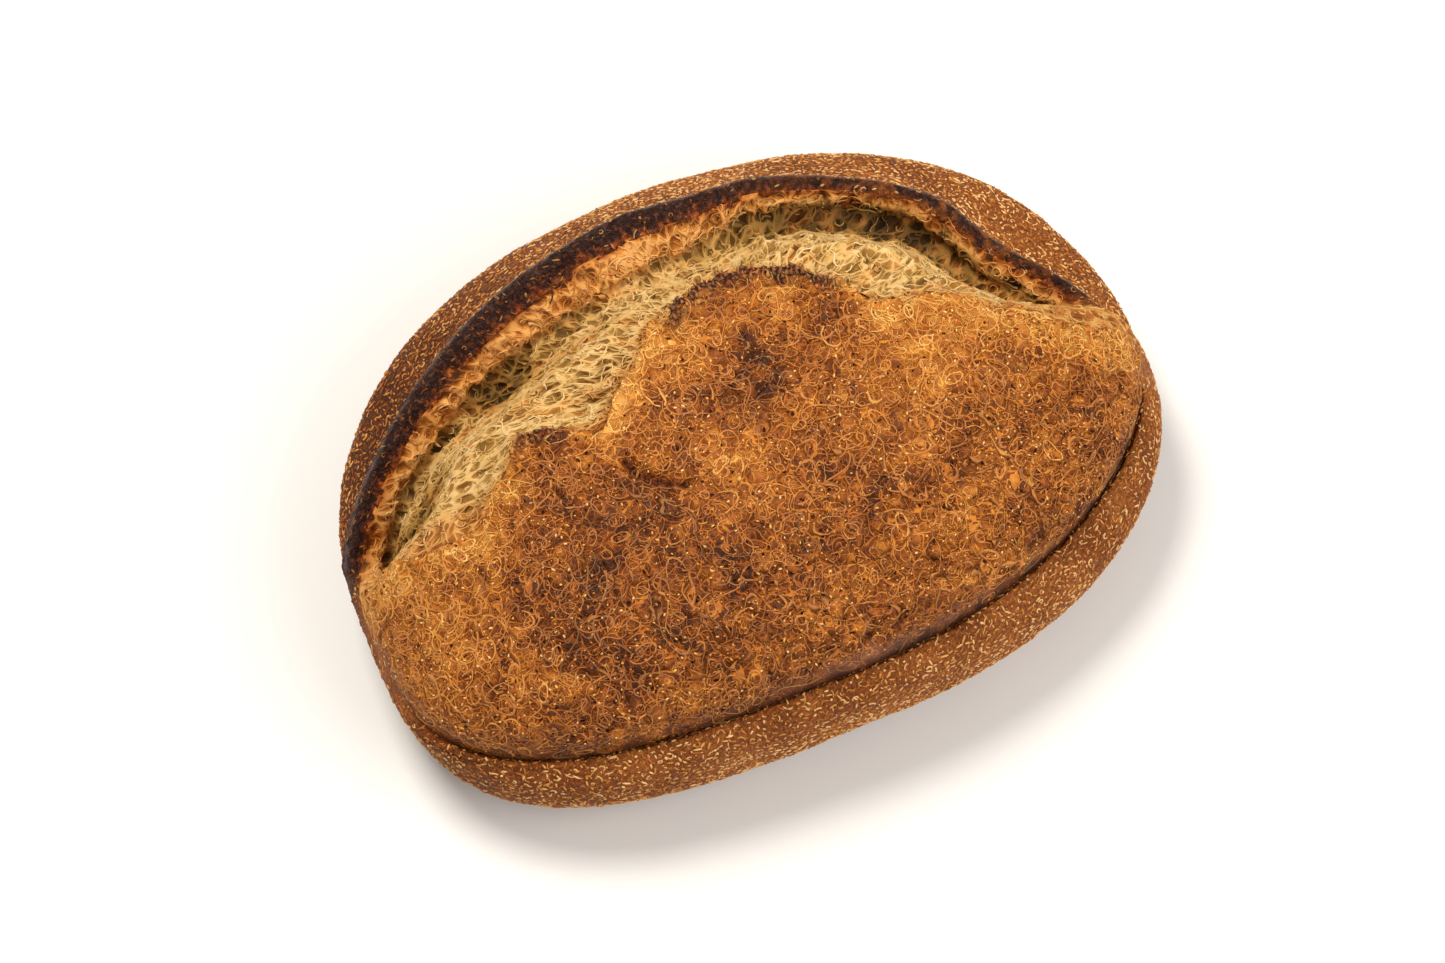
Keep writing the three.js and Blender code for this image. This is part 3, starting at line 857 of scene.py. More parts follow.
class Nodes:
    """Adds nodes to a tree and joins them."""

    def __init__(self, tree):
        self.tree = tree

    def add(self, kind, feeds=None, **settings):
        """feeds gives a value, or a socket to link, for each input by its name or number."""
        node = self.tree.nodes.new(kind)
        for key, value in settings.items():
            setattr(node, key, value)
        for key, value in (feeds or {}).items():
            self.feed(node.inputs[key], value)
        return node

    def feed(self, socket, value):
        if isinstance(value, bpy.types.NodeSocket):
            self.tree.links.new(value, socket)
        else:
            socket.default_value = value

    def maths(self, operation, *values):
        node = self.add("ShaderNodeMath", operation=operation)
        for socket, value in zip(node.inputs, values):
            self.feed(socket, value)
        return node.outputs[0]

    def times(self, a, b):
        return self.maths("MULTIPLY", a, b)

    def step(self, value, low, high, to_low=0.0, to_high=1.0):
        """A smooth step from to_low to to_high while value goes from low to high."""
        feeds = {"Value": value, "From Min": low, "From Max": high, "To Min": to_low,
                 "To Max": to_high}
        return self.add("ShaderNodeMapRange", feeds, interpolation_type="SMOOTHSTEP").outputs[0]

    def vector(self, operation, *values):
        node = self.add("ShaderNodeVectorMath", operation=operation)
        for key, value in enumerate(values):
            if operation == "SCALE" and key == 1:
                self.feed(node.inputs["Scale"], value)
            else:
                self.feed(node.inputs[key], value)
        return node.outputs["Vector"]

    def shifted(self, where, size, seed):
        """The place in units of size, moved far away by the seed, so that no two patterns agree."""
        shrunk = self.vector("SCALE", where, 1 / size)
        return self.vector("ADD", shrunk, (seed * 3.7, seed * -2.3, seed * 1.9))

    def noise(self, where, size, detail=2.0, roughness=0.5, colour=False, seed=0.0):
        """Noise with lumps about as wide as size."""
        feeds = {"Vector": self.shifted(where, size, seed), "Scale": 1.0, "Detail": detail,
                 "Roughness": roughness}
        return self.add("ShaderNodeTexNoise", feeds).outputs["Color" if colour else "Fac"]

    def cells(self, where, size, feature="F1", seed=0.0):
        """Distance to the middle, or to the edge, of the nearest of many cells."""
        feeds = {"Vector": self.shifted(where, size, seed), "Scale": 1.0}
        return self.add("ShaderNodeTexVoronoi", feeds, feature=feature).outputs["Distance"]

    def drifted(self, where, size, reach, seed=0.0):
        """The same place, carried aside a little, so that patterns bend."""
        way = self.vector("SUBTRACT", self.noise(where, size, 1.0, colour=True, seed=seed),
                          (0.5, 0.5, 0.5))
        return self.vector("ADD", where, self.vector("SCALE", way, reach * 2.0))

    def ramp(self, value, stops):
        """A colour that runs through the stops, each a place from 0 to 1 and a colour's code."""
        node = self.add("ShaderNodeValToRGB", {0: value})
        points = node.color_ramp.elements
        while len(points) < len(stops):
            points.new(0.5)
        for point, (place, code) in zip(points, stops):
            point.position = place
            point.color = paint(code)
        return node.outputs["Color"]

    def mark(self, name):
        """A named attribute of the points, read in a material or in a Geometry Nodes tree."""
        vector = name in VECTOR_MARKS
        if self.tree.type == "SHADER":
            node = self.add("ShaderNodeAttribute", attribute_name=name)
            return node.outputs["Vector" if vector else "Fac"]
        kind = "FLOAT_VECTOR" if vector else "FLOAT"
        node = self.add("GeometryNodeInputNamedAttribute", {"Name": name}, data_type=kind)
        return node.outputs["Attribute"]

    def total(self, *terms):
        """The sum of the terms, in which a pair stands for the one times the other."""
        total = None
        for term in terms:
            if isinstance(term, tuple):
                term = self.times(*term)
            total = term if total is None else self.maths("ADD", total, term)
        return total

    def mixed(self, share, a, b):
        node = self.add("ShaderNodeMix", data_type="RGBA", clamp_factor=True)
        for key, value in (("Factor_Float", share), ("A_Color", a), ("B_Color", b)):
            self.feed(next(s for s in node.inputs if s.identifier == key), value)
        return next(s for s in node.outputs if s.identifier == "Result_Color")


# %% [markdown]
# Gas lifted the bloom's thin skin into bubbles, a few millimetres wide, and as it dried it
# wrinkled into fine ridges: along the seams between bubbles, round the smaller bubbles, and in
# strokes like contour lines across them. Where bubbles burst they left small pits.

# %% The bubbles, ridges and pits of the bloom
def contours(nodes, bent, size, count, seed):
    """Thin strokes like the contour lines of soft hills about as wide as size."""
    level = nodes.noise(bent, size, 0.0, seed=seed)
    band = nodes.maths("FRACT", nodes.times(level, count))
    off = nodes.maths("ABSOLUTE", nodes.maths("SUBTRACT", band, 0.5))
    return nodes.step(off, 0.14, 0.03)


def curls(nodes, where):
    """Bubble tops, ridges and pits, each from 0 to 1, at a place given in millimetres."""
    bent = nodes.drifted(where, 6.0, 2.4, seed=1.0)
    coarse = nodes.cells(bent, 6.4, "DISTANCE_TO_EDGE", seed=2.0)
    fine = nodes.cells(bent, 3.4, "DISTANCE_TO_EDGE", seed=3.0)
    top = nodes.total((nodes.step(coarse, 0.0, 0.4), 0.75), (nodes.step(fine, 0.0, 0.42), 0.25))
    wide = nodes.times(contours(nodes, bent, 5.2, 10.0, 9.0),
                       nodes.step(nodes.noise(where, 7.0, 1.0, seed=12.0), 0.3, 0.46))
    tight = nodes.times(contours(nodes, bent, 2.6, 5.0, 10.0),
                        nodes.step(nodes.noise(where, 6.0, 1.0, seed=13.0), 0.42, 0.56))
    strokes = nodes.maths("MAXIMUM", wide, tight)
    seams = nodes.maths("MAXIMUM", nodes.step(coarse, 0.05, 0.02),
                        nodes.times(nodes.step(fine, 0.09, 0.04), 0.5))
    pit = nodes.step(nodes.cells(bent, 3.4, seed=20.0), 0.17, 0.08)
    return top, nodes.maths("MAXIMUM", seams, strokes), pit


# %% [markdown]
# Relief is added by Geometry Nodes as a last layer on each skin: every point moves along its
# normal by a height worked out from its own place. A bump in the material would be cheaper, but it
# leaves outlines smooth and is lost where only the mesh is used. The heights are inputs of each
# tree, in millimetres, and the result is kept as a plain mesh.

# %% Trees that add relief
def new_tree(name, sizes):
    """The helper and the inputs of a new tree: a skin, a number for each size and a material."""
    tree = bpy.data.node_groups.new(name, "GeometryNodeTree")
    tree.interface.new_socket("Geometry", in_out="INPUT", socket_type="NodeSocketGeometry")
    for label, value in sizes.items():
        socket = tree.interface.new_socket(label, in_out="INPUT", socket_type="NodeSocketFloat")
        socket.default_value = value
    tree.interface.new_socket("Material", in_out="INPUT", socket_type="NodeSocketMaterial")
    tree.interface.new_socket("Geometry", in_out="OUTPUT", socket_type="NodeSocketGeometry")
    nodes = Nodes(tree)
    return nodes, nodes.add("NodeGroupInput").outputs


def end_tree(nodes, geometry, material):
    """Paints what the tree made and hands it out."""
    feeds = {"Geometry": geometry, "Material": material}
    painted = nodes.add("GeometryNodeSetMaterial", feeds).outputs[0]
    nodes.feed(nodes.add("NodeGroupOutput").inputs["Geometry"], painted)
    return nodes.tree


def stored(nodes, geometry, name, value, kind="FLOAT"):
    """The same geometry, whose points keep the value under a name."""
    feeds = {"Geometry": geometry, "Name": name, "Value": value}
    return nodes.add("GeometryNodeStoreNamedAttribute", feeds, data_type=kind,
                     domain="POINT").outputs[0]


def relief_tree(name, heights, lift_of):
    """A tree that lifts a skin by lift_of(nodes, inputs), with an input for each height."""
    nodes, inputs = new_tree(name, heights)
    masked = nodes.times(lift_of(nodes, inputs), nodes.mark("relief"))
    metres = nodes.times(masked, MM)
    normal = nodes.add("GeometryNodeInputNormal").outputs[0]
    kept = stored(nodes, inputs["Geometry"], "outward", normal, "FLOAT_VECTOR")
    feeds = {"Geometry": kept, "Offset": nodes.vector("SCALE", normal, metres)}
    moved = nodes.add("GeometryNodeSetPosition", feeds).outputs[0]
    real = nodes.add("GeometryNodeRealizeInstances", {"Geometry": moved}).outputs[0]
    return end_tree(nodes, real, inputs["Material"])


# %% Running a tree on a piece
def set_inputs(modifier, values):
    for item in modifier.node_group.interface.items_tree:
        if item.in_out == "INPUT" and item.name in values:
            modifier[item.identifier] = values[item.name]


def settle(piece, tree, values):
    """Runs a tree on a piece and keeps what it makes as the piece's own plain mesh."""
    modifier = piece.modifiers.new(tree.name, "NODES")
    modifier.node_group = tree
    set_inputs(modifier, values)
    evaluated = piece.evaluated_get(bpy.context.evaluated_depsgraph_get())
    mesh = bpy.data.meshes.new_from_object(evaluated, preserve_all_data_layers=True,
                                           depsgraph=bpy.context.evaluated_depsgraph_get())
    piece.modifiers.remove(modifier)
    old, piece.data = piece.data, mesh
    bpy.data.meshes.remove(old)
    mesh.name = piece.name
    print(piece.name, "now has", len(mesh.polygons), "faces")


# %% What lifts the shell and the bloom
def shell_lift(nodes, inputs):
    skin = nodes.mark("skin")
    lumps = nodes.maths("SUBTRACT", nodes.noise(skin, 9, 3, seed=30.0), 0.5)
    grit = nodes.maths("SUBTRACT", nodes.noise(skin, 2.2, 2, 0.6, seed=31.0), 0.5)
    crackle = nodes.step(nodes.cells(skin, 5.5, "DISTANCE_TO_EDGE", seed=32.0), 0.10, 0.0)
    raised = nodes.maths("SUBTRACT", nodes.times(grit, inputs["Grit height"]),
                         nodes.times(crackle, inputs["Crackle depth"]))
    return nodes.maths("ADD", nodes.times(lumps, inputs["Lump height"]), raised)


def bloom_lift(nodes, inputs):
    skin = nodes.mark("skin")
    top, _, pit = curls(nodes, skin)
    lumps = nodes.maths("SUBTRACT", nodes.noise(skin, 11, 3, seed=33.0), 0.5)
    swell = nodes.times(inputs["Bubble height"], nodes.total(0.45, (nodes.mark("bubbly"), 0.55)))
    sunk = nodes.times(pit, inputs["Pit depth"])
    return nodes.total((lumps, inputs["Lump height"]), (top, swell), (sunk, -1.0))


# %% [markdown]
# Crumb is a foam of bubbles that burst as it tore: smooth bowls with thin bright walls between
# them. The tear pulled them long, so cells on a place that counts less far down the tear than
# along it come out stretched that way. Two sizes of cells, one inside the other, read as foam.

# %% The crumb's bubbles
def bubbles(nodes, grain):
    """How deep a spot lies in its large and its small bowl, and how near a thin wall, 0 to 1."""
    bent = nodes.drifted(grain, 6.0, 3.0, seed=40.0)
    large = nodes.cells(bent, 8.5, "DISTANCE_TO_EDGE", seed=41.0)
    small = nodes.cells(bent, 4.4, "DISTANCE_TO_EDGE", seed=42.0)
    wall = nodes.maths("MAXIMUM", nodes.step(large, 0.09, 0.03), nodes.step(small, 0.13, 0.05))
    thread = nodes.times(contours(nodes, bent, 6.5, 7.0, 44.0), 0.6)
    wall = nodes.maths("MAXIMUM", wall, thread)
    return nodes.step(large, 0.0, 0.4), nodes.step(small, 0.0, 0.36), wall


def crumb_lift(nodes, inputs):
    grain = nodes.mark("grain")
    large, small, wall = bubbles(nodes, grain)
    loose = nodes.step(nodes.noise(grain, 13, 1, seed=43.0), 0.3, 0.65, 0.35, 1.0)
    deep = nodes.maths("ADD", nodes.times(large, inputs["Bubble depth"]),
                       nodes.times(small, inputs["Cell depth"]))
    raised = nodes.times(wall, inputs["Wall height"])
    return nodes.total((deep, nodes.times(loose, -1.0)), raised)


# %% [markdown]
# Crust colours come from one scale that runs from cream dough through gold and chestnut to char,
# as baking does. How far a spot has gone along it is a sum: the broad toasted fields carried by
# the mesh, some soft noise, and the fine relief, whose ridges stay paler; on the bloom the bubble
# tops also get a painted highlight and the pits painted shade.

# %% Tools for the materials
def new_material(name, roughness, specular=0.12):
    material = bpy.data.materials.new(name)
    material.use_nodes = True
    shader = material.node_tree.nodes["Principled BSDF"]
    shader.inputs["Roughness"].default_value = roughness
    shader.inputs["Specular IOR Level"].default_value = specular
    return material, Nodes(material.node_tree), shader


def bumped(nodes, shader, height, distance):
    """Fine relief below the size of the mesh's faces; distance in mm."""
    feeds = {"Height": height, "Distance": distance * MM, "Strength": 1.0}
    nodes.feed(shader.inputs["Normal"], nodes.add("ShaderNodeBump", feeds).outputs["Normal"])


# %% The bloom's gold
def bloom_tone(nodes, skin):
    """How far the bloom is baked at a place, from 0, cream, to 1, char."""
    wide = nodes.noise(skin, 15, 4.0, 0.62, seed=50.0)
    close = nodes.noise(skin, 5.0, 3.0, 0.65, seed=51.0)
    return nodes.total(-0.06, (wide, 0.6), (close, 0.6), (nodes.mark("toast"), 0.2),
                       (nodes.mark("pale"), -0.3))


def bloom_colour(nodes, tone, painted_crease_gloss=0.5):
    crust = nodes.ramp(tone, ((0.0, "#efc886"), (0.2, "#dca24e"), (0.42, "#c07629"),
                              (0.64, "#954e19"), (0.82, "#633010"), (1.0, "#381a09")))
    streak = nodes.noise(nodes.mark("skin"), 1.3, 1.0, seed=52.0)
    burnt = nodes.ramp(streak, ((0.35, "#2c130a"), (0.55, "#5f2b12"), (0.72, "#96522a")))
    crust = nodes.mixed(nodes.mark("char"), crust, burnt)
    # The mauve over the crease is a painted sheen.
    crust = nodes.mixed(nodes.times(nodes.mark("crease"), painted_crease_gloss), crust, paint("#a9705a"))
    # A painted shade line along the crease.
    return nodes.mixed(nodes.mark("crease_shade"), crust, paint("#452a20"))


def bloom_material():
    material, nodes, shader = new_material("bloom_gold", 0.5)
    skin = nodes.mark("skin")
    top, ridge, pit = curls(nodes, skin)
    # Bubble tops are painted lighter as a highlight and pits darker as painted shade; the ridges
    # are paler crust.
    tone = nodes.total(bloom_tone(nodes, skin), 0.33, (top, -0.2), (ridge, -0.34), (pit, 0.5))
    nodes.feed(shader.inputs["Base Color"], bloom_colour(nodes, tone))
    bumped(nodes, shader, nodes.total(ridge, (pit, -1.2)), 0.5)
    return material


def curl_material():
    material, nodes, shader = new_material("bloom_curl_gold", 0.45)
    skin = nodes.mark("skin")
    tone = nodes.total(bloom_tone(nodes, skin), (nodes.mark("shade"), 0.2), -0.1)
    pale = nodes.mixed(0.14, bloom_colour(nodes, tone, painted_crease_gloss=0.2), paint("#e0b47a"))
    nodes.feed(shader.inputs["Base Color"], pale)
    return material


# Raised cream beads on the bloom; their cream colour is a painted highlight for its small glints.
def glint_dot_material():
    material, nodes, shader = new_material("bloom_glint_cream", 0.35, 0.5)
    tone = nodes.total((nodes.mark("toast"), 0.2), (nodes.mark("shade"), 0.5), 0.02)
    nodes.feed(shader.inputs["Base Color"], bloom_colour(nodes, tone))
    return material


# %% The shell's brown
def shell_colour(nodes, tone, char):
    crust = nodes.ramp(tone, ((0.0, "#e8b878"), (0.25, "#c8853e"), (0.5, "#a05a24"),
                              (0.75, "#713a14"), (1.0, "#3f1e0a")))
    skin = nodes.mark("skin")
    drawn_up = nodes.vector("MULTIPLY", skin, (1.0, 1.0, 0.3))
    streak = nodes.noise(drawn_up, 1.5, 2.0, seed=62.0)
    burnt = nodes.ramp(streak, ((0.3, "#1c0b06"), (0.55, "#30150b"), (0.76, "#66391d")))
    # A painted highlight: the lip's outer edge gets a blue-grey sheen line, broken into strokes.
    broken = nodes.step(nodes.noise(skin, 5.0, 2.0, seed=63.0), 0.4, 0.6)
    painted_sheen = nodes.times(nodes.times(nodes.mark("painted_sheen"), broken), 0.42)
    burnt = nodes.mixed(painted_sheen, burnt, paint("#7a6866"))
    glow = nodes.ramp(streak, ((0.3, "#3a170a"), (0.5, "#7a3712"), (0.7, "#b15c22")))
    burnt = nodes.mixed(nodes.mark("ember"), burnt, glow)
    return nodes.mixed(char, crust, burnt)


def shell_material():
    material, nodes, shader = new_material("shell_brown", 0.6)
    skin = nodes.mark("skin")
    bent = nodes.drifted(skin, 6.0, 2.0, seed=64.0)
    flecks = nodes.noise(bent, 1.1, 2.0, 0.6, seed=61.0)
    strokes = contours(nodes, bent, 4.0, 9.0, 65.0)
    # The back left is darker: partly browner crust, partly painted shade.
    tone = nodes.total(-0.02, (nodes.noise(skin, 22, 4.0, 0.6, seed=60.0), 0.6), (flecks, 0.8),
                       (strokes, -0.17), (nodes.mark("golden"), -0.2),
                       (nodes.mark("browned_and_shaded"), 0.25))
    nodes.feed(shader.inputs["Base Color"], shell_colour(nodes, tone, nodes.mark("char")))
    nodes.feed(shader.inputs["Roughness"], nodes.step(nodes.mark("char"), 0.0, 1.0, 0.65, 0.4))
    bumped(nodes, shader, nodes.total(flecks, (strokes, 0.4)), 0.8)
    return material


def blister_material():
    material, nodes, shader = new_material("blister_cream", 0.5)
    # The back left is darker: partly browner crust, partly painted shade.
    tone = nodes.total((nodes.noise(nodes.mark("skin"), 22, 2.0, seed=60.0), 0.4),
                       (nodes.mark("shade"), 0.55), -0.25, (nodes.mark("browned_and_shaded"), 0.2))
    burnt = nodes.times(nodes.mark("char"), 0.6)
    nodes.feed(shader.inputs["Base Color"], shell_colour(nodes, tone, burnt))
    return material


# %% The crumb's cream
def crumb_colour(nodes, deep, baked):
    """The crumb's colour, from deep, which holds painted shade and the crumb's own uneven tone, and
    from how far the heat has baked it.
    """
    pale = nodes.ramp(deep, ((0.05, "#e4c48a"), (0.3, "#c39956"), (0.55, "#9d7336"),
                             (0.8, "#684b22"), (1.0, "#3e2b14")))
    orange = nodes.ramp(baked, ((0.1, "#d99246"), (0.4, "#bb6b22"), (0.7, "#874213"),
                                (1.0, "#3f1d0b")))
    golden = nodes.ramp(baked, ((0.1, "#d09e58"), (0.45, "#ac6c30"), (0.9, "#7a4119")))
    amber = nodes.step(nodes.noise(nodes.mark("grain"), 8, 2.0, seed=73.0), 0.48, 0.7)
    pale = nodes.mixed(nodes.times(amber, 0.26), pale, orange)
    colour = nodes.mixed(nodes.mark("golden"), pale, golden)
    heat = nodes.total((nodes.mark("toast"), 0.66), (amber, 0.2), (nodes.mark("scorch"), 0.3))
    return nodes.mixed(heat, colour, orange)


def crumb_material():
    material, nodes, shader = new_material("open_crumb_cream", 0.75)
    grain = nodes.mark("grain")
    large, small, wall = bubbles(nodes, grain)
    # Painted shade: the bowls of the bubbles and the hollow under the ear darken the cream, the
    # thin walls stay paler, and the noise is the crumb's own uneven tone.
    deep = nodes.total(0.28, (large, 0.17), (small, 0.1), (nodes.mark("hollow_shade"), 0.55),
                       (nodes.noise(grain, 12, 3.0, 0.6, seed=70.0), 0.34), (wall, -0.26))
    baked = nodes.total(-0.06, (large, 0.36), (small, 0.12), (wall, -0.24),
                        (nodes.noise(grain, 4, 2.0, seed=71.0), 0.7),
                        (nodes.mark("scorch"), 0.55), (nodes.mark("golden"), 0.22))
    nodes.feed(shader.inputs["Base Color"], crumb_colour(nodes, deep, baked))
    grit = nodes.noise(grain, 1.2, 2.0, 0.5, seed=72.0)
    bumped(nodes, shader, nodes.total(wall, (grit, 0.25)), 0.3)
    return material


def strand_material():
    material, nodes, shader = new_material("crumb_strand_cream", 0.65)
    shade = nodes.mark("shade")
    # Strands in the hollow under the ear take its painted shade.
    deep = nodes.total((shade, 0.35), (nodes.mark("hollow_shade"), 0.35))
    baked = nodes.total((shade, 0.5), (nodes.mark("scorch"), 0.5))
    nodes.feed(shader.inputs["Base Color"], crumb_colour(nodes, deep, baked))
    return material


# %% Relief on the three skins
RELIEFS = (  # skin, heights of its relief in mm, what lifts it, its material
    (shell, {"Lump height": 1.1, "Grit height": 0.5, "Crackle depth": 0.12},
     shell_lift, shell_material),
    (bloom, {"Lump height": 2.2, "Bubble height": 2.9, "Pit depth": 0.6},
     bloom_lift, bloom_material),
    (crumb, {"Bubble depth": 2.6, "Cell depth": 0.8, "Wall height": 0.3},
     crumb_lift, crumb_material))

for skin, heights, lift_of, material_of in RELIEFS:
    tree = relief_tree(skin.name + "_relief", heights, lift_of)
    settle(skin, tree, {"Material": material_of()})


# %% [markdown]
# Blisters, wrinkles, curls, loops, dots, teeth and strands are small raised shapes by the
# thousand. Geometry Nodes scatters points that keep a set distance apart over a finished skin,
# more of them where an attribute says so, and sets one of a few tiny shapes on each, turned at
# random about the skin's normal. Thin strokes are then laid down: each of their points moves to
# its own height over the skin, so that a stroke follows the bubbles under it. Each shape has only
# a few dozen faces, and a seed fixes every choice.

# %% Shapes to scatter
def arc(nodes, radius, sweep, points):
    """Part of a ring, the middle of its line at the origin; radius in mm, sweep in degrees."""
    feeds = {"Resolution": points, "Radius": radius * MM, "Sweep Angle": math.radians(sweep)}
    line = nodes.add("GeometryNodeCurveArc", feeds).outputs["Curve"]
    centre = (-radius * MM * math.cos(math.radians(sweep / 2)),
              -radius * MM * math.sin(math.radians(sweep / 2)), 0)
    return nodes.add("GeometryNodeTransform", {"Geometry": line, "Translation": centre}).outputs[0]


def wave(nodes, length, bend, points):
    """A stroke like a flat S; length and bend in mm."""
    half, sixth, bend = length / 2 * MM, length / 6 * MM, bend * MM
    feeds = {"Resolution": points, "Start": (-half, 0, 0), "End": (half, 0, 0),
             "Start Handle": (-sixth, bend, 0), "End Handle": (sixth, -bend, 0)}
    return nodes.add("GeometryNodeCurvePrimitiveBezierSegment", feeds).outputs["Curve"]


def tubes(nodes, thickness, lines):
    """Strokes with three sides; each line is arc or wave, its two sizes and how many points."""
    thick = nodes.times(thickness, MM)
    shapes = []
    for line, *sizes in lines:
        ring = nodes.add("GeometryNodeCurvePrimitiveCircle", {"Resolution": 3, "Radius": thick})
        feeds = {"Curve": line(nodes, *sizes), "Profile Curve": ring.outputs["Curve"],
                 "Fill Caps": True}
        shapes.append(nodes.add("GeometryNodeCurveToMesh", feeds).outputs["Mesh"])
    return shapes


def drops(nodes, thickness, sizes):
    """Balls pressed flat; each size is half a length and half a width in mm."""
    shapes = []
    for length, width in sizes:
        ball = nodes.add("GeometryNodeMeshIcoSphere", {"Radius": MM, "Subdivisions": 1}).outputs[0]
        feeds = {"X": length, "Y": width, "Z": thickness}
        size = nodes.add("ShaderNodeCombineXYZ", feeds).outputs[0]
        feeds = {"Geometry": ball, "Scale": size}
        shapes.append(nodes.add("GeometryNodeTransform", feeds).outputs[0])
    return shapes


def cones(nodes, thickness, heights):
    """Torn points of crust, as cones of five sides; heights in mm."""
    thick = nodes.times(thickness, MM)
    shapes = []
    for height in heights:
        feeds = {"Vertices": 5, "Radius Top": 0.0, "Radius Bottom": thick, "Depth": height * MM}
        cone = nodes.add("GeometryNodeMeshCone", feeds, fill_type="NGON")
        shapes.append(cone.outputs["Mesh"])
    return shapes


# %% The shapes themselves, by their sizes
CURLS = ((arc, 0.9, 300, 8), (arc, 1.4, 230, 8), (arc, 2.3, 130, 7), (wave, 4.2, 2.4, 8),
         (arc, 0.6, 260, 6), (arc, 3.6, 80, 7), (arc, 2.0, 250, 11), (wave, 6.0, 3.2, 10))
STRANDS = ((arc, 3.4, 130, 8), (arc, 6.0, 80, 8), (arc, 2.2, 230, 9), (wave, 8.0, 2.6, 8),
           (wave, 5.0, 2.4, 7), (arc, 1.4, 290, 8))
LOOPS = ((arc, 1.5, 356, 12), (arc, 1.9, 340, 13), (arc, 1.1, 356, 10), (arc, 2.6, 250, 13),
         (wave, 7.0, 5.0, 12))
WRINKLES = ((arc, 1.0, 210, 5), (arc, 2.4, 70, 5), (wave, 3.0, 1.4, 5), (arc, 0.7, 260, 5))
BLISTERS = ((1.1, 0.38), (0.8, 0.42), (1.5, 0.32), (0.55, 0.42), (1.0, 0.32))
GLINT_DOTS = ((0.9, 0.8), (1.1, 0.8), (0.7, 0.7))
TEETH = (2.0, 2.6, 1.4)


# %% Trees that scatter
# Spacing and Thickness are in mm and Lean, Tilt and Turn in degrees. Smallest, Largest and Stretch
# multiply a shape's own size, and Hug says how closely it is laid down, from 0 to 1.
USUAL_SIZES = {"Stretch": 1.0, "Lean": 0.0, "Tilt": 0.0, "Turn": 360.0, "Hug": 0.0}


def random_value(nodes, low, high, seed, whole=False):
    node = nodes.add("FunctionNodeRandomValue", data_type="INT" if whole else "FLOAT")
    first = 4 if whole else 2
    nodes.feed(node.inputs[first], low)
    nodes.feed(node.inputs[first + 1], high)
    nodes.feed(node.inputs["Seed"], seed)
    return node.outputs[2 if whole else 1]


def spread_points(nodes, inputs, share, seed):
    """Points over the skin, no two nearer than Spacing, each with a shade of its own."""
    feeds = {"Mesh": inputs["Geometry"], "Density Max": 1e6, "Density Factor": share,
             "Distance Min": nodes.times(inputs["Spacing"], MM), "Seed": seed}
    spread = nodes.add("GeometryNodeDistributePointsOnFaces", feeds, distribute_method="POISSON")
    shade = random_value(nodes, 0.0, 1.0, seed + 1)
    return stored(nodes, spread.outputs["Points"], "shade", shade)


def gathered(nodes, shapes):
    """The shapes as a choice of instances, whose points keep their height as lift."""
    where = nodes.add("GeometryNodeInputPosition").outputs[0]
    height = nodes.add("ShaderNodeSeparateXYZ", {0: where}).outputs[2]
    gather = nodes.add("GeometryNodeGeometryToInstance")
    for shape in shapes[::-1]:
        nodes.tree.links.new(stored(nodes, shape, "lift", height), gather.inputs[0])
    return gather.outputs[0]


def any_turn(nodes, inputs, seed):
    """Upright on the skin, then leant over and turned at random."""
    wobble = random_value(nodes, -1.0, 1.0, seed + 2)
    lean = nodes.total(inputs["Lean"], (wobble, inputs["Tilt"]))
    turned = nodes.times(random_value(nodes, -0.5, 0.5, seed + 3), inputs["Turn"])
    angles = nodes.add("ShaderNodeCombineXYZ", {
        "X": nodes.maths("RADIANS", lean), "Z": nodes.maths("RADIANS", turned)}).outputs[0]
    turn = nodes.add("FunctionNodeEulerToRotation", {"Euler": angles}).outputs[0]
    upright = nodes.add("FunctionNodeAlignRotationToVector", {
        "Vector": nodes.mark("outward")}, axis="Z").outputs[0]
    return nodes.add("FunctionNodeRotateRotation", {"Rotation": upright, "Rotate By": turn},
                     rotation_space="LOCAL").outputs[0]


def any_size(nodes, inputs, seed):
    """A random size, and a random stretch along the shape's own length."""
    scale = random_value(nodes, inputs["Smallest"], inputs["Largest"], seed + 4)
    longer = nodes.times(scale, random_value(nodes, 1.0, inputs["Stretch"], seed + 6))
    return nodes.add("ShaderNodeCombineXYZ", {"X": longer, "Y": scale, "Z": scale}).outputs[0]


def laid_down(nodes, skin, shapes, share):
    """Moves each point of the shapes to its own height over the nearest spot of the skin."""
    near = nodes.add("GeometryNodeProximity", {"Geometry": skin}, target_element="FACES").outputs[0]
    way = nodes.add("GeometryNodeSampleNearestSurface", {
        "Mesh": skin, "Value": nodes.mark("outward")}, data_type="FLOAT_VECTOR")
    flat = nodes.vector("ADD", near, nodes.vector("SCALE", way.outputs[0], nodes.mark("lift")))
    here = nodes.add("GeometryNodeInputPosition").outputs[0]
    offset = nodes.vector("SCALE", nodes.vector("SUBTRACT", flat, here), share)
    return nodes.add("GeometryNodeSetPosition", {"Geometry": shapes, "Offset": offset}).outputs[0]


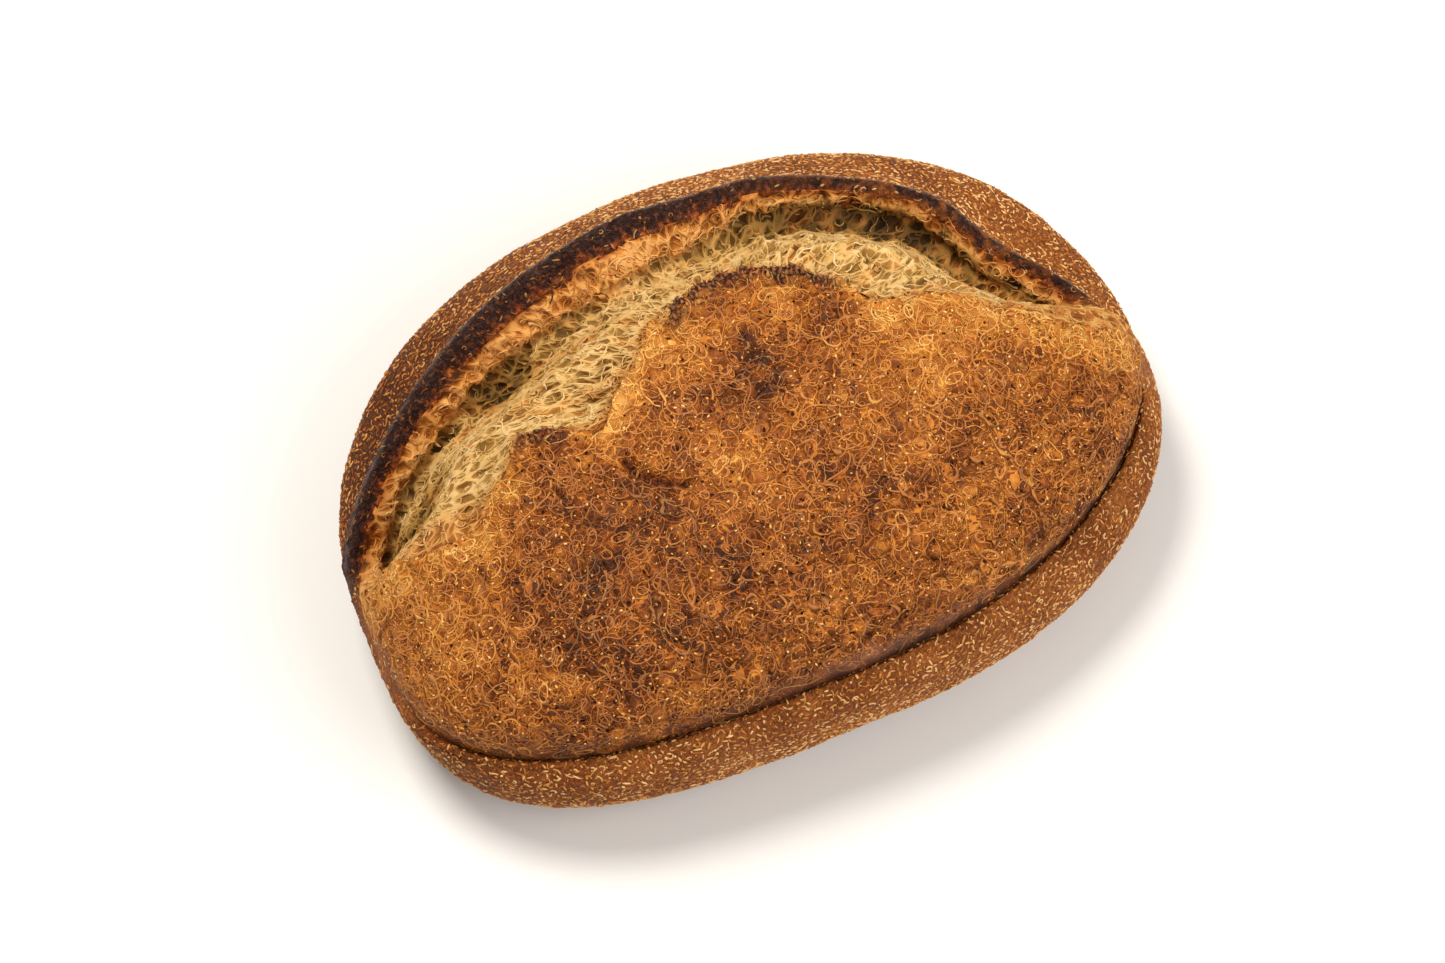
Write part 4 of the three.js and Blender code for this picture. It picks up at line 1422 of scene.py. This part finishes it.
# %% The whole tree and its piece
def scatter_tree(name, seed, sizes, make, shapes, share_of):
    """Sets small shapes over a skin; share_of gives from 0 to 1 how many of them stay."""
    nodes, inputs = new_tree(name, {**USUAL_SIZES, **sizes})
    points = spread_points(nodes, inputs, share_of(nodes), seed)
    choice = random_value(nodes, 0, len(shapes) - 1, seed + 5, whole=True)
    placed = nodes.add("GeometryNodeInstanceOnPoints", {
        "Points": points, "Pick Instance": True, "Instance Index": choice,
        "Instance": gathered(nodes, make(nodes, inputs["Thickness"], shapes)),
        "Rotation": any_turn(nodes, inputs, seed), "Scale": any_size(nodes, inputs, seed)})
    real = nodes.add("GeometryNodeRealizeInstances", {"Geometry": placed.outputs[0]}).outputs[0]
    if "Hug" in sizes:
        real = laid_down(nodes, inputs["Geometry"], real, inputs["Hug"])
    smooth = nodes.add("GeometryNodeSetShadeSmooth", {"Geometry": real}).outputs[0]
    return end_tree(nodes, smooth, inputs["Material"])


def scattered(name, skin, seed, sizes, make, shapes, share_of, material_of):
    """A piece of small shapes over a finished skin; a row of SCATTERED gives what it needs."""
    piece = bpy.data.objects.new(name, skin.data.copy())
    bpy.context.scene.collection.objects.link(piece)
    tree = scatter_tree("scatter_" + name, seed, sizes, make, shapes, share_of)
    settle(piece, tree, {"Material": material_of()})
    triangles = sum(len(face.vertices) - 2 for face in piece.data.polygons)
    print(name, "has", triangles, "triangles")
    return piece


# %% Where the small shapes stay
def blister_share(nodes):
    bare = nodes.maths("MAXIMUM", nodes.mark("lip"), nodes.mark("golden"))
    height = nodes.add("ShaderNodeSeparateXYZ", {0: nodes.mark("skin")}).outputs[2]
    there = nodes.maths("MINIMUM", nodes.mark("relief"), 1.0)
    shown = nodes.times(there, nodes.step(height, 2.0, 12.0))
    return nodes.times(shown, nodes.total(1.0, (bare, -0.8)))


def curl_share(nodes):
    bare = nodes.maths("MINIMUM", nodes.mark("char"), 1.0)
    return nodes.times(nodes.mark("relief"), nodes.total(1.0, (bare, -1.0)))


def glint_dot_share(nodes):
    patches = nodes.noise(nodes.mark("skin"), 14, 1.0, seed=80.0)
    return nodes.times(nodes.mark("relief"), nodes.step(patches, 0.3, 0.65))


def tooth_share(nodes):
    return nodes.mark("teeth")


def strand_share(nodes):
    return nodes.mark("relief")


def fringe_share(nodes):
    baked = nodes.maths("MAXIMUM", nodes.mark("toast"), nodes.mark("golden"))
    return nodes.times(nodes.mark("relief"), baked)


# %% Blisters, curls and strands
SCATTERED = (  # name, skin, seed, sizes, how and which shapes, where they stay, their material
    ("shell_blisters", shell, 16, {"Spacing": 1.95, "Tilt": 6.0, "Smallest": 0.5, "Largest": 1.25,
                                   "Thickness": 0.4},
     drops, BLISTERS, blister_share, blister_material),
    ("shell_wrinkles", shell, 16, {"Spacing": 2.9, "Tilt": 6.0, "Smallest": 0.6, "Largest": 1.1,
                                   "Thickness": 0.3, "Hug": 1.0},
     tubes, WRINKLES, blister_share, blister_material),
    ("bloom_curls", bloom, 13, {"Spacing": 5.0, "Smallest": 0.6, "Largest": 1.2, "Stretch": 1.4,
                                "Thickness": 0.25, "Hug": 1.0},
     tubes, CURLS, curl_share, curl_material),
    ("bloom_loops", bloom, 19, {"Spacing": 4.9, "Smallest": 0.75, "Largest": 1.4, "Stretch": 2.5,
                                "Thickness": 0.24, "Hug": 1.0},
     tubes, LOOPS, curl_share, curl_material),
    # Cream beads that stand for glints on the bloom: a painted highlight.
    ("bloom_glint_dots", bloom, 12, {"Spacing": 2.1, "Tilt": 5.0, "Smallest": 0.28, "Largest": 0.54,
                               "Stretch": 1.8, "Thickness": 0.6},
     drops, GLINT_DOTS, glint_dot_share, glint_dot_material),
    ("flap_teeth", bloom, 13, {"Spacing": 1.3, "Lean": -72.0, "Tilt": 18.0, "Turn": 80.0,
                               "Smallest": 0.6, "Largest": 1.3, "Thickness": 0.75},
     cones, TEETH, tooth_share, curl_material),
    ("crumb_strands", crumb, 15, {"Spacing": 4.6, "Tilt": 6.0, "Smallest": 0.6, "Largest": 1.3,
                                  "Thickness": 0.3, "Hug": 0.6},
     tubes, STRANDS, strand_share, strand_material),
    ("fringe_curls", crumb, 14, {"Spacing": 2.2, "Tilt": 18.0, "Smallest": 0.6, "Largest": 1.5,
                                 "Thickness": 0.28, "Hug": 0.75},
     tubes, CURLS, fringe_share, strand_material))

PIECES = [shell, crumb, bloom, *(scattered(*row) for row in SCATTERED)]


# %% [markdown]
# Crust shows its relief best in raking light, so a small high lamp stands behind the loaf, a wide
# soft one fills the front, and a dim warm sky lifts the shadows. The floor belongs to the stage
# only, and the camera looks steeply down with a long lens.

# %% Stage
def stage_material(name, code):
    material = bpy.data.materials.new(name)
    material.use_nodes = True
    shader = material.node_tree.nodes["Principled BSDF"]
    shader.inputs["Base Color"].default_value = paint(code)
    shader.inputs["Roughness"].default_value = 0.9
    return material


def floor_piece():
    bpy.ops.mesh.primitive_plane_add(size=6)
    floor = bpy.context.object
    floor.name = "studio_floor"
    floor.location.z = -0.0005
    floor.data.materials.append(stage_material("pale_floor", "#e9e6e1"))


def soft_light(name, place, size, power, colour=(1, 1, 1)):
    data = bpy.data.lights.new(name, "AREA")
    data.shape = "DISK"
    data.size = size
    data.energy = power
    data.color = colour
    lamp = bpy.data.objects.new(name, data)
    lamp.location = place
    way = Vector((0, 0, 0.03)) - Vector(place)
    lamp.rotation_euler = way.to_track_quat("-Z", "Y").to_euler()
    bpy.context.scene.collection.objects.link(lamp)


def camera_at(azimuth, elevation, target, distance, lens):
    a, e = math.radians(azimuth), math.radians(elevation)
    back = Vector((math.sin(a) * math.cos(e), -math.cos(a) * math.cos(e), math.sin(e)))
    data = bpy.data.cameras.new("camera")
    data.lens = lens
    data.sensor_width = 36
    camera = bpy.data.objects.new("camera", data)
    camera.location = Vector(target) + back * distance
    camera.rotation_euler = (-back).to_track_quat("-Z", "Y").to_euler()
    bpy.context.scene.collection.objects.link(camera)
    bpy.context.scene.camera = camera


floor_piece()
soft_light("key", (-0.2, 0.32, 1.05), 0.4, 10.5, (1, 0.97, 0.92))
soft_light("fill", (0.65, -0.75, 0.9), 1.1, 11.5)
world = bpy.data.worlds.new("studio")
world.use_nodes = True
world.node_tree.nodes["Background"].inputs["Color"].default_value = (1.0, 0.985, 0.96, 1)
world.node_tree.nodes["Background"].inputs["Strength"].default_value = 0.45
bpy.context.scene.world = world
bpy.context.scene.view_settings.view_transform = "Standard"
camera_at(-22.46, 67, (-0.0117, -0.0089, 0.040), 0.914, 70)

# %% [markdown]
# Every piece rides on the one solid. The bloom stands in for the plain loaf, whose faces would
# otherwise show through.

# %% Finish
for piece in PIECES:
    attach(piece, "root")
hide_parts("loaf")
